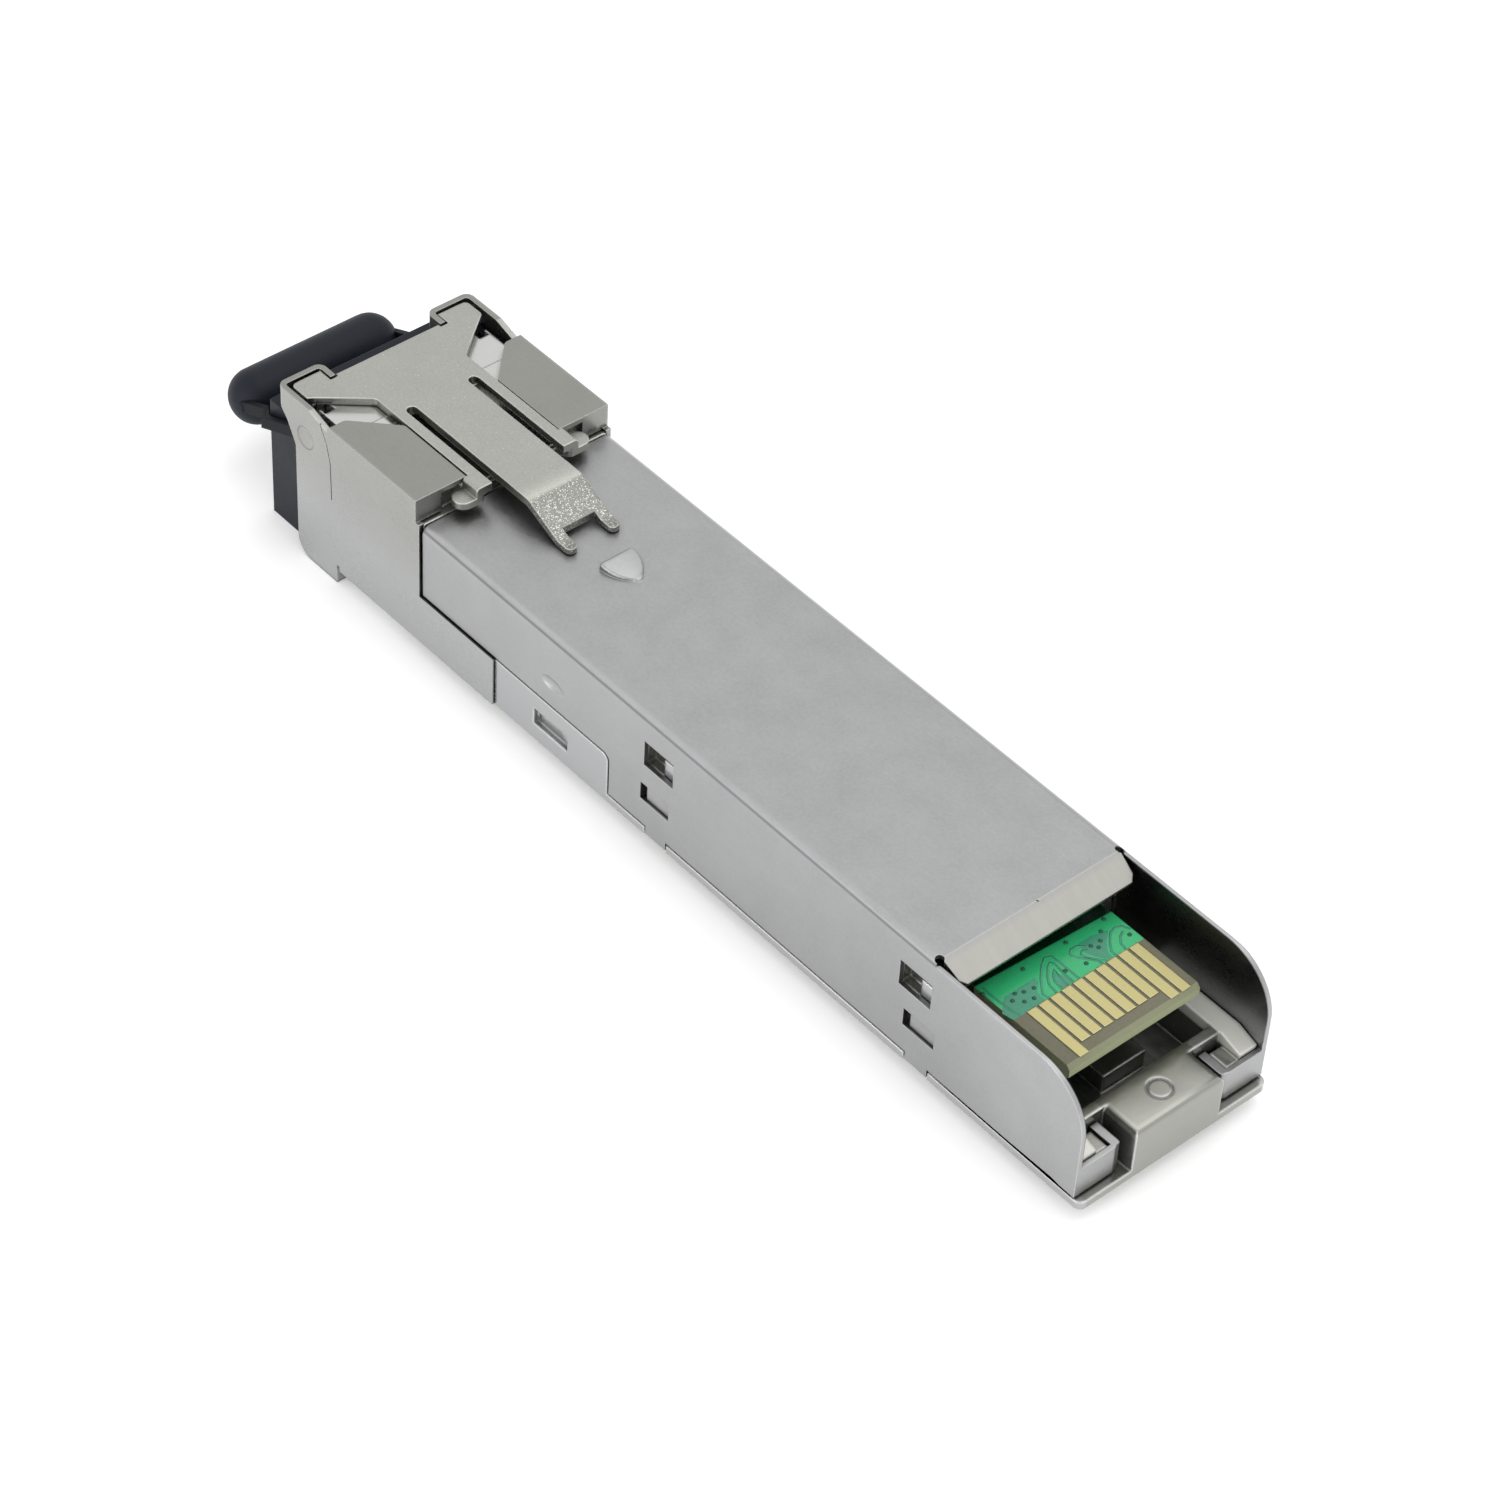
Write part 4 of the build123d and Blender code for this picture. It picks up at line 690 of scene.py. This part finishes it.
def stage_material(name, colour):
    """Pale sweep that reads white and still keeps a soft shadow."""
    material, g = new_material(name)
    tone = g.scaled(solid(colour), g.span(g.noise(g.place(), 30.0), 0.0, 1.0, 0.995, 1.005))
    glow = g.scaled(WHITE, g.product(white_rays(g), studio().floor_glow))
    matt = {"Base Color": tone, "Roughness": 0.9, "Specular IOR Level": 0.1}
    surface(g, {**matt, "Emission Color": glow, "Emission Strength": 1.0})
    return material


def link_object(name, data):
    obj = bpy.data.objects.new(name, data)
    bpy.context.scene.collection.objects.link(obj)
    return obj


def merged_mesh(node):
    """A joined copy of a CAD node's triangles as a bmesh."""
    mesh = bmesh.new()
    mesh.from_mesh(NODES[node].data)
    bmesh.ops.remove_doubles(mesh, verts=mesh.verts, dist=MERGE_DISTANCE)
    return mesh


def between(value, low, high):
    """A value's share of the way from low to high, kept from 0 to 1."""
    return min(1.0, max(0.0, (value - low) / (high - low)))


def fit_cover(co):
    """The lower edge reaches the flange, the rear tabs are lower and wider, and the lip is shorter."""
    foot_end = COVER_FOOT_Z + COVER_FOOT_RUN
    if co.x > FLANGE_START_X and FLANGE_TOP_Z < co.z < foot_end:
        co.z -= FLANGE_DROP * between(co.z, foot_end, COVER_FOOT_Z)
    if co.x > TAB_START_X and abs(co.y) < COVER_INNER_Y and co.z < TAB_TOP_Z + NEAR:
        if co.z > TAB_TOP_Z - NEAR:
            co.z -= TAB_DROP
        if abs(co.y) < TAB_INNER_Y:
            co.y -= math.copysign(TAB_REACH, co.y)
    if co.x > LIP_TIP_X and abs(co.y) < LIP_HALF_Y and co.z > LIP_LOW_Z:
        run = LIP_CUT * (co.x - LIP_FOLD_X)
        co.x -= run
        co.z += run * LIP_SLOPE
        co.y *= LIP_NARROW


def fit_shroud(co):
    """The inside corner of each ear stands clear of the raised bail."""
    inside = RETURN_X[0] < co.x < RETURN_X[1] and RETURN_Y[0] < abs(co.y) < RETURN_Y[1]
    if inside and abs(co.z - RETURN_FOOT_Z) < 2.5 * NEAR:
        co.z += RETURN_LIFT


def fit_base(co):
    """A thinner flange with close rear corners, and rails that slope down at their ends."""
    if co.x > FLANGE_START_X and abs(co.z - FLANGE_TOP_Z) < NEAR:
        co.z -= FLANGE_DROP
    if co.x > POST_START_X and co.z > POST_STEP_Z and abs(co.y) > POST_Y:
        if abs(co.y) > RAIL_Y - NEAR and co.z > RAIL_TOP_Z - 5 * NEAR:
            co.z -= POST_DROP * between(co.x, POST_START_X, POST_END_X)
        else:
            co.z -= POST_DROP
    out = abs(co.y) - CORNER_OLD[1]
    back = co.x - CORNER_OLD[0]
    if min(out, back) > -0.5 * NEAR and co.z < FLANGE_TOP_Z + NEAR:
        if abs(math.hypot(out, back) - CORNER_OLD[2]) < 1.5 * NEAR:
            share = CORNER_NEW[2] / CORNER_OLD[2]
            co.x = CORNER_NEW[0] + back * share
            co.y = math.copysign(CORNER_NEW[1] + out * share, co.y)


def fit_plate(co):
    """The wings reach into the corners of the ears."""
    aside = abs(co.y)
    if co.x < WING_FRONT_X and aside > WING_INNER_Y:
        co.x -= WING_REACH
    if aside > WING_OUTER_Y and co.z > WING_OUTER_Z:
        co.y = math.copysign(aside + WING_REACH, co.y)


def body_of(node):
    """The name of the body that a CAD node moves with."""
    return next(name for name, empty in frame["bodies"].items() if NODES[node].parent == empty)


def dress(node, name, material, sharp=SHARP_ANGLE, fit=None, cuts=()):
    """A smooth-shaded copy of a CAD node that keeps its creases, in its finish, standing for the node."""
    work = merged_mesh(node)
    for place in cuts:
        geom = [*work.verts, *work.edges, *work.faces]
        bmesh.ops.bisect_plane(work, geom=geom, dist=1e-7, plane_co=(place, 0, 0), plane_no=(1, 0, 0))
    if fit:
        for vert in work.verts:
            fit(vert.co)
    for face in work.faces:
        face.smooth = True
    for edge in work.edges:
        edge.smooth = len(edge.link_faces) == 2 and edge.calc_face_angle(0.0) < sharp
    mesh = bpy.data.meshes.new(name)
    work.to_mesh(mesh)
    work.free()
    mesh.materials.append(material)
    piece = link_object(name, mesh)
    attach(piece, body_of(node))
    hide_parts(node)
    return piece


def coat(node, material):
    """A finish on a CAD node whose shape stays as it is."""
    mesh = NODES[node].data
    mesh.materials.clear()
    mesh.materials.append(material)


def solid_boxes(node):
    """The lowest and highest corner of each separate solid in a node."""
    work = merged_mesh(node)
    left = set(work.verts)
    boxes = []
    while left:
        queue = [left.pop()]
        found = []
        while queue:
            vert = queue.pop()
            found.append(vert.co.copy())
            for edge in vert.link_edges:
                other = edge.other_vert(vert)
                if other in left:
                    left.remove(other)
                    queue.append(other)
        low = Vector(min(p[i] for p in found) for i in range(3))
        high = Vector(max(p[i] for p in found) for i in range(3))
        boxes.append((low, high))
    work.free()
    return sorted(boxes, key=lambda pair: tuple(pair[0]))


# Geometry trees for what repeats
def geometry_group(name, inputs, build):
    """A geometry node tree with named inputs that ends in Realize Instances and Set Material."""
    tree = bpy.data.node_groups.new(name, "GeometryNodeTree")
    tree.interface.new_socket("Geometry", in_out="INPUT", socket_type="NodeSocketGeometry")
    tree.interface.new_socket("Geometry", in_out="OUTPUT", socket_type="NodeSocketGeometry")
    for label, kind, value in inputs:
        socket = tree.interface.new_socket(label, in_out="INPUT", socket_type=kind)
        if value is not None:
            socket.default_value = value
    g = Graph(tree)
    entry = g.add("NodeGroupInput").outputs
    g.add("NodeGroupOutput", {0: build(g, entry)})
    return tree


def grown(name, source, tree, values):
    """The plain mesh that a tree makes from a source object; the source and its modifier go."""
    modifier = source.modifiers.new("grow", "NODES")
    modifier.node_group = tree
    keys = {item.name: item.identifier for item in tree.interface.items_tree if item.in_out == "INPUT"}
    for label, value in values.items():
        modifier[keys[label]] = value
    graph = bpy.context.evaluated_depsgraph_get()
    mesh = bpy.data.meshes.new_from_object(source.evaluated_get(graph))
    mesh.name = name
    bpy.data.objects.remove(source)
    return link_object(name, mesh)


def point_cloud(points):
    """A source object with one loose vertex for each point."""
    mesh = bpy.data.meshes.new("points")
    mesh.from_pydata([tuple(p) for p in points], [], [])
    return link_object("points", mesh)


def finished_with(g, geometry, material):
    made = g.out("GeometryNodeRealizeInstances", {0: geometry})
    return g.out("GeometryNodeSetMaterial", {"Geometry": made, "Material": material})


def ring_tree():
    """A flat ring at each point, for vias."""

    def build(g, entry):
        path = g.out("GeometryNodeCurvePrimitiveCircle", {"Resolution": 16, "Radius": entry["Radius"]})
        section = {"Resolution": 6, "Radius": entry["Rim"]}
        rim = g.out("GeometryNodeCurvePrimitiveCircle", section)
        ring = g.out("GeometryNodeCurveToMesh", {0: path, 1: rim, "Fill Caps": True})
        rings = g.out("GeometryNodeInstanceOnPoints", {"Points": entry["Geometry"], "Instance": ring})
        return finished_with(g, rings, entry["Material"])

    inputs = [
        ("Radius", FLOAT, 0.00013), ("Rim", FLOAT, 0.00004), ("Material", MATERIAL, None),
    ]
    return geometry_group("rings_on_points", inputs, build)


def ribbon_tree():
    """A flat strip along each curve, for copper traces."""

    def build(g, entry):
        section = {"Width": entry["Width"], "Height": entry["Height"]}
        band = g.out("GeometryNodeCurvePrimitiveQuadrilateral", section, mode="RECTANGLE")
        strip = g.out("GeometryNodeCurveToMesh", {0: entry["Geometry"], 1: band, "Fill Caps": True})
        return finished_with(g, strip, entry["Material"])

    inputs = [
        ("Width", FLOAT, 0.0001), ("Height", FLOAT, 0.00002), ("Material", MATERIAL, None),
    ]
    return geometry_group("strips_along_curves", inputs, build)


def area_tree():
    """A thin raised field inside each closed curve, for copper under the mask."""

    def build(g, entry):
        flat = g.out("GeometryNodeFillCurve", {"Curve": entry["Geometry"]})
        offset = g.out("ShaderNodeCombineXYZ", {"Z": entry["Height"]})
        whole = {"Mesh": flat, "Offset": offset, "Offset Scale": 1.0, "Individual": False}
        raised = g.out("GeometryNodeExtrudeMesh", whole)
        level = g.out("ShaderNodeCombineXYZ", {"Z": entry["Level"]})
        lifted = g.out("GeometryNodeTransform", {"Geometry": raised, "Translation": level})
        return finished_with(g, lifted, entry["Material"])

    inputs = [("Height", FLOAT, 0.00001), ("Level", FLOAT, 0.0), ("Material", MATERIAL, None)]
    return geometry_group("fields_in_curves", inputs, build)


def chip_tree():
    """A chip part with two tinned ends at each point."""

    def build(g, entry):
        size = entry["Size"]
        parts = g.add("ShaderNodeSeparateXYZ", {0: size}).outputs
        inset = g.product(entry["Proud"], 2.0)
        lengths = {axis: g.math("SUBTRACT", part, inset) for axis, part in zip("XYZ", parts)}
        body_size = g.out("ShaderNodeCombineXYZ", lengths)
        body = g.out("GeometryNodeMeshCube", {"Size": body_size})
        body = g.out("GeometryNodeSetMaterial", {"Geometry": body, "Material": entry["Material"]})
        cap_size = g.out("ShaderNodeCombineXYZ", {"X": entry["Cap"], "Y": parts[1], "Z": parts[2]})
        cap = g.out("GeometryNodeMeshCube", {"Size": cap_size})
        reach = g.product(g.math("SUBTRACT", parts[0], entry["Cap"]), 0.5)
        ends = []
        for side in (1.0, -1.0):
            shift = g.out("ShaderNodeCombineXYZ", {"X": g.product(reach, side)})
            moved = g.out("GeometryNodeTransform", {"Geometry": cap, "Translation": shift})
            ends.append(g.out("GeometryNodeSetMaterial", {"Geometry": moved, "Material": entry["Tin"]}))
        join = g.add("GeometryNodeJoinGeometry")
        for piece in (body, *ends):
            g.tree.links.new(piece, join.inputs[0])
        put = {"Points": entry["Geometry"], "Instance": join.outputs[0]}
        chips = g.out("GeometryNodeInstanceOnPoints", put)
        return g.out("GeometryNodeRealizeInstances", {0: chips})

    inputs = [
        ("Size", VECTOR, (0.001, 0.0005, 0.0005)), ("Cap", FLOAT, 0.0002), ("Proud", FLOAT, 0.00001),
        ("Material", MATERIAL, None), ("Tin", MATERIAL, None),
    ]
    return geometry_group("chips_on_points", inputs, build)


def cone_tree():
    """A solder fillet at each point."""

    def build(g, entry):
        sizes = {"Radius Top": entry["Top"], "Radius Bottom": entry["Foot"], "Depth": entry["Height"]}
        cone = g.out("GeometryNodeMeshCone", {"Vertices": 14, **sizes})
        cones = g.out("GeometryNodeInstanceOnPoints", {"Points": entry["Geometry"], "Instance": cone})
        return finished_with(g, cones, entry["Material"])

    inputs = [
        ("Top", FLOAT, 0.0002), ("Foot", FLOAT, 0.0004), ("Height", FLOAT, 0.00025),
        ("Material", MATERIAL, None),
    ]
    return geometry_group("fillets_on_points", inputs, build)


# Finishes and fittings, piece by piece
class TRANSCEIVER_OT_cover(bpy.types.Operator):
    """Plate the folded cover"""

    bl_idname = "transceiver.cover"
    bl_label = "Cover"

    def execute(self, context):
        colour = finish().sheet
        material = plated_material("cover_nickel", colour, 0.38, contrast=0.2, reach=0.0009, tint=cover_tint)
        dress("cover", "cover_sheet", material, sharp=math.radians(15), fit=fit_cover)
        return {"FINISHED"}


class TRANSCEIVER_OT_nose(bpy.types.Operator):
    """Plate the nose shroud"""

    bl_idname = "transceiver.nose"
    bl_label = "Nose shroud"

    def execute(self, context):
        material = plated_material("shroud_nickel", finish().shroud, 0.3, contrast=0.16, tint=shroud_tint)
        dress("nose_shroud", "shroud_sheet", material, fit=fit_shroud)
        return {"FINISHED"}


class TRANSCEIVER_OT_base(bpy.types.Operator):
    """Plate the die-cast base"""

    bl_idname = "transceiver.base"
    bl_label = "Base casting"

    def execute(self, context):
        material = cast_material("cast_nickel", finish().casting)
        dress("base_casting", "base_plated", material, fit=fit_base, cuts=(POST_START_X,))
        return {"FINISHED"}


class TRANSCEIVER_OT_latch(bpy.types.Operator):
    """Plate the latch actuator"""

    bl_idname = "transceiver.latch"
    bl_label = "Latch actuator"

    def execute(self, context):
        material = crystalline_material("latch_plating", finish().actuator)
        dress("latch_actuator", "latch_plate", material, fit=fit_plate)
        return {"FINISHED"}


class TRANSCEIVER_OT_bail(bpy.types.Operator):
    """Finish the bail's strip and its rubber grip"""

    bl_idname = "transceiver.bail"
    bl_label = "Bail"

    def execute(self, context):
        dipped = moulded_material("strip_dip", finish().strip, 0.6, specular=0.15, rubbed=0.05)
        dress("bail_frame", "bail_strip", dipped)
        rubber = moulded_material("grip_rubber", finish().rubber, 0.52, relief=0.000008, specular=0.2)
        dress("bail_grip", "bail_rubber", rubber, sharp=math.radians(40))
        return {"FINISHED"}


class TRANSCEIVER_OT_receptacle(bpy.types.Operator):
    """Finish the receptacle, its hooks and the ferrule sleeve"""

    bl_idname = "transceiver.receptacle"
    bl_label = "Receptacle"

    def execute(self, context):
        moulding = moulded_material("receptacle_plastic", finish().moulding, 0.45, specular=0.2)
        dress("receptacle", "receptacle_housing", moulding)
        insert = moulded_material("insert_plastic", INSERT_TONE, 0.4)
        dress("receptacle_hooks", "receptacle_insert", insert)
        ceramic = ceramic_material("ground_ceramic")
        dress("split_sleeve", "ferrule_sleeve", ceramic)
        dress("fibre_stub", "fibre_end", ceramic)
        return {"FINISHED"}


class TRANSCEIVER_OT_optics(bpy.types.Operator):
    """Finish the optical sub-assembly with its cans and leads"""

    bl_idname = "transceiver.optics"
    bl_label = "Optics"

    def execute(self, context):
        turned = plated_material("turned_steel", TURNED_TONE, 0.22)
        dress("optic_body", "optic_housing", turned)
        can = precious_material("can_gold", CAN_TONE)
        lead = precious_material("lead_gold", finish().gold)
        for node in ("laser_can", "receiver_can"):
            dress(node, node + "_plated", can)
        for node in LEADS:
            dress(node, node + "_wire", lead)
        return {"FINISHED"}


class TRANSCEIVER_OT_board(bpy.types.Operator):
    """Finish the circuit board and its edge contacts"""

    bl_idname = "transceiver.board"
    bl_label = "Circuit board"

    def execute(self, context):
        coat("circuit_board", board_material("masked_board"))
        gold = precious_material("contact_gold", finish().gold, 0.34)
        coat("edge_contacts_top", gold)
        coat("edge_contacts_bottom", gold)
        return {"FINISHED"}


class TRANSCEIVER_OT_traces(bpy.types.Operator):
    """Lay copper traces and vias under the mask beside the edge contacts"""

    bl_idname = "transceiver.traces"
    bl_label = "Traces and vias"

    def execute(self, context):
        sizes = detail()
        masked = trace_material("masked_copper")
        plugged = moulded_material("masked_hole", HOLE_TONE, 0.3)
        low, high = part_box("circuit_board")
        for side, z in (("top", high.z), ("bottom", low.z)):
            routes, areas, holes = trace_routes(side)
            width = {"Width": sizes.trace_width, "Height": sizes.trace_height, "Material": masked}
            strips = grown("traces_" + side, curve_source(routes, z, False), ribbon_tree(), width)
            thin = sizes.trace_height * (0.4 if side == "top" else -0.4)
            depth = {"Height": thin, "Level": z, "Material": masked}
            fields = grown("copper_" + side, curve_source(areas, 0.0, True), area_tree(), depth)
            half = sizes.via_radius * 0.5
            rim = {"Radius": half, "Rim": half, "Material": plugged}
            middles = point_cloud([(x * MM, y * MM, z) for x, y in holes])
            rings = grown("vias_" + side, middles, ring_tree(), rim)
            for piece in (strips, fields, rings):
                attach(piece, "module")
        return {"FINISHED"}


def curve_source(paths, z, closed):
    """A curve object at one height, with a straight-sided spline for each path in millimetres."""
    curve = bpy.data.curves.new("routes", "CURVE")
    curve.dimensions = "3D"
    for path in paths:
        spline = curve.splines.new("POLY")
        spline.points.add(len(path) - 1)
        spline.use_cyclic_u = closed
        for point, (x, y) in zip(spline.points, path):
            point.co = (x * MM, y * MM, z, 1.0)
    return link_object("routes", curve)


# Routes on the board's upper side in millimetres, from the contacts towards the lip
TOP_ROUTES = (
    ((37.2, -2.15), (36.78, -2.2), (35.98, -1.57), (35.36, -0.93),
     (35.02, -0.4), (35.16, -0.05), (35.62, 0.0), (37.2, 0.0)),
    ((37.2, -1.6), (36.5, -1.48), (36.1, -1.2), (35.6, -0.72),
     (35.42, -0.4), (35.6, -0.28), (36.4, -0.36), (37.2, -0.4)),
    ((37.2, -1.2), (36.5, -1.1), (36.1, -0.8), (35.9, -0.58), (36.5, -0.7), (37.2, -0.8)),
    ((37.2, 1.7), (36.9, 1.61), (36.42, 1.29), (36.04, 0.94),
     (35.64, 0.8), (35.42, 1.1), (35.45, 1.5), (35.8, 1.9)),
    ((37.2, 2.05), (36.7, 1.6), (36.3, 1.3), (36.0, 1.25), (35.85, 1.45), (36.0, 1.75)),
    ((37.2, 2.6), (36.81, 2.62), (36.25, 3.05), (35.83, 3.5), (35.7, 3.95), (35.85, 4.3), (36.3, 4.5)),
    ((37.2, 3.3), (36.7, 3.4), (36.3, 3.75), (36.15, 4.1)),
    ((37.2, -4.1), (36.6, -4.25), (35.6, -4.3), (34.6, -4.3)),
)
TOP_COPPER = (
    ((35.75, -3.9), (35.72, -1.75), (36.05, -1.8), (36.55, -2.35),
     (37.18, -2.4), (37.18, -4.6), (36.5, -4.75)),
    ((35.38, 1.65), (35.38, 2.6), (35.62, 3.55), (36.2, 2.85), (36.75, 2.45),
     (37.18, 2.4), (37.18, 2.2), (36.6, 1.75), (36.1, 1.5)),
    ((36.2, -1.05), (36.05, -0.75), (36.6, -0.45), (37.18, -0.5), (37.18, -1.1)),
)
TOP_HOLES = (
    (35.92, 2.69), (35.45, 3.18), (36.53, 4.19), (36.61, 1.02), (36.21, -2.27), (36.09, -2.86),
    (36.18, -3.74), (34.9, -1.81), (35.88, 2.05), (36.33, -0.2), (36.73, -2.75), (36.6, -3.3),
    (35.9, -3.3), (36.2, 2.3), (34.9, 1.2), (34.9, 3.9), (34.9, -4.6),
)


def trace_routes(side):
    """Routes, copper areas and vias of one side; the underside has the upper side's, mirrored."""
    turn = 1 if side == "top" else -1
    flip = [[[(x, y * turn) for x, y in path] for path in paths] for paths in (TOP_ROUTES, TOP_COPPER)]
    return flip[0], flip[1], [(x, y * turn) for x, y in TOP_HOLES]


class TRANSCEIVER_OT_chips(bpy.types.Operator):
    """Finish the chips and make the small parts with their tinned ends"""

    bl_idname = "transceiver.chips"
    bl_label = "Chips"

    def execute(self, context):
        epoxy = moulded_material("chip_epoxy", EPOXY_TONE, 0.5)
        tin = precious_material("tin", TIN_TONE)
        for node in ("driver_chip", "receiver_chip", "controller_chip", "memory_chip"):
            coat(node, epoxy)
        coat("controller_leads", tin)
        coat("thermal_pad", moulded_material("gap_pad", PAD_TONE, 0.7, specular=0.2))
        bodies = {
            "capacitors": ("capacitor", (0.28, 0.18, 0.1)),
            "resistors": ("resistor", (0.02, 0.02, 0.025)),
            "ferrite_beads": ("ferrite", (0.09, 0.09, 0.095)),
        }
        tree = chip_tree()
        for node, (slot_name, colour) in bodies.items():
            boxes = solid_boxes(node)
            body = moulded_material(slot_name + "_body", colour, 0.45)
            size = tuple(boxes[0][1] - boxes[0][0])
            values = {"Size": size, "Cap": detail().cap_length, "Material": body, "Tin": tin}
            middles = point_cloud([(low + high) / 2 for low, high in boxes])
            piece = grown(node + "_capped", middles, tree, values)
            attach(piece, "module")
            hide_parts(node)
        return {"FINISHED"}


class TRANSCEIVER_OT_solder(bpy.types.Operator):
    """Solder the bent leads to the board"""

    bl_idname = "transceiver.solder"
    bl_label = "Solder"

    def execute(self, context):
        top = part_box("circuit_board")[1].z
        foot = detail().fillet_radius
        points = []
        for node in LEADS:
            for low, high in solid_boxes(node):
                points.append((high.x - LEAD_HALF, high.y - LEAD_HALF, top))
        values = {"Top": LEAD_HALF, "Foot": foot, "Height": 0.6 * foot}
        values["Material"] = bpy.data.materials["tin"]
        piece = grown("solder_fillets", point_cloud(points), cone_tree(), values)
        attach(piece, "module")
        return {"FINISHED"}


class TRANSCEIVER_OT_stage(bpy.types.Operator):
    """Set up the floor, the lamps, the surroundings and the camera"""

    bl_idname = "transceiver.stage"
    bl_label = "Studio"

    def execute(self, context):
        lay_floor()
        hang_lamps()
        light_world()
        place_camera()
        return {"FINISHED"}


# The floor's half width, and each lamp's name, place, width and depth, in metres
FLOOR_HALF = 1.2
LAMP_AIM = (0.01, 0.0, 0.004)
LAMPS = (
    ("key", (0.02, 0.10, 0.34), (0.30, 0.26)),
    ("side", (0.0, -0.32, 0.12), (0.34, 0.16)),
    ("rear", (0.30, -0.05, 0.14), (0.16, 0.14)),
)


def lay_floor():
    low = CAD_BOX[0][2]
    mesh = bpy.data.meshes.new("floor")
    corners = [(x * FLOOR_HALF, y * FLOOR_HALF, low) for x, y in ((-1, -1), (1, -1), (1, 1), (-1, 1))]
    mesh.from_pydata(corners, [], [(0, 1, 2, 3)])
    mesh.materials.append(stage_material("pale_sweep", studio().floor))
    link_object("floor", mesh)


def hang_lamps():
    """Soft rectangular lamps, turned to the part."""
    for name, place, size in LAMPS:
        data = bpy.data.lights.new(name, "AREA")
        data.shape = "RECTANGLE"
        data.size, data.size_y = size
        data.energy = getattr(studio(), name + "_power")
        lamp = link_object(name, data)
        lamp.location = place
        lamp.rotation_euler = (Vector(LAMP_AIM) - Vector(place)).to_track_quat("-Z", "Y").to_euler()


def light_world():
    """White to the camera and to mirror-like surfaces, softer as a light."""
    world = bpy.data.worlds.new("white_surroundings")
    bpy.context.scene.world = world
    world.use_nodes = True
    world.node_tree.nodes.clear()
    g = Graph(world.node_tree)
    strength = g.span(white_rays(g), 0.0, 1.0, studio().ambient, 1.0)
    sky = g.out("ShaderNodeBackground", {"Color": solid(WHITE), "Strength": strength})
    g.add("ShaderNodeOutputWorld", {"Surface": sky})


def place_camera():
    azimuth, elevation, roll = (math.radians(a) for a in (CAMERA_AZIMUTH, CAMERA_ELEVATION, CAMERA_ROLL))
    level = math.cos(elevation)
    back = Vector((math.sin(azimuth) * level, -math.cos(azimuth) * level, math.sin(elevation)))
    right = Vector((math.cos(azimuth), math.sin(azimuth), 0.0))
    up = back.cross(right)
    across = right * math.cos(roll) + up * math.sin(roll)
    over = up * math.cos(roll) - right * math.sin(roll)
    aim = Vector(CAMERA_AIM) + across * CAMERA_SLIDE[0] + over * CAMERA_SLIDE[1]
    place = (aim + back * CAMERA_DISTANCE) * MM
    data = bpy.data.cameras.new("camera")
    data.sensor_width = SENSOR_MM
    data.lens = FOCAL_PIXELS / PHOTO_PIXELS * SENSOR_MM
    data.clip_start = 0.01
    camera = link_object("camera", data)
    turn = Matrix((across, over, back)).transposed().to_4x4()
    camera.matrix_world = Matrix.Translation(place) @ turn
    bpy.context.scene.camera = camera


class TRANSCEIVER_PT_sidebar(bpy.types.Panel):
    """Sidebar with the finishes and the steps that make them"""

    bl_label = "Transceiver"
    bl_idname = "TRANSCEIVER_PT_sidebar"
    bl_space_type = "VIEW_3D"
    bl_region_type = "UI"
    bl_category = "Transceiver"

    def draw(self, context):
        for group in (finish(), detail(), studio()):
            box = self.layout.box()
            for name in group.__annotations__:
                box.prop(group, name)
        for step in STEPS:
            self.layout.operator(step.bl_idname)


STEPS = (
    TRANSCEIVER_OT_stage,
    TRANSCEIVER_OT_base,
    TRANSCEIVER_OT_cover,
    TRANSCEIVER_OT_nose,
    TRANSCEIVER_OT_latch,
    TRANSCEIVER_OT_bail,
    TRANSCEIVER_OT_receptacle,
    TRANSCEIVER_OT_optics,
    TRANSCEIVER_OT_board,
    TRANSCEIVER_OT_traces,
    TRANSCEIVER_OT_chips,
    TRANSCEIVER_OT_solder,
)
SETTINGS = {
    "transceiver_finish": FinishSettings,
    "transceiver_detail": DetailSettings,
    "transceiver_studio": StudioSettings,
}
CLASSES = (*SETTINGS.values(), *STEPS, TRANSCEIVER_PT_sidebar)


def register():
    for item in CLASSES:
        bpy.utils.register_class(item)
    for name, group in SETTINGS.items():
        setattr(bpy.types.Scene, name, PointerProperty(type=group))


def unregister():
    for name in SETTINGS:
        delattr(bpy.types.Scene, name)
    for item in reversed(CLASSES):
        bpy.utils.unregister_class(item)


def main():
    register()
    bpy.context.scene.view_settings.view_transform = "Standard"
    for step in STEPS:
        group, name = step.bl_idname.split(".")
        getattr(getattr(bpy.ops, group), name)()


if __name__ == "__main__":
    main()
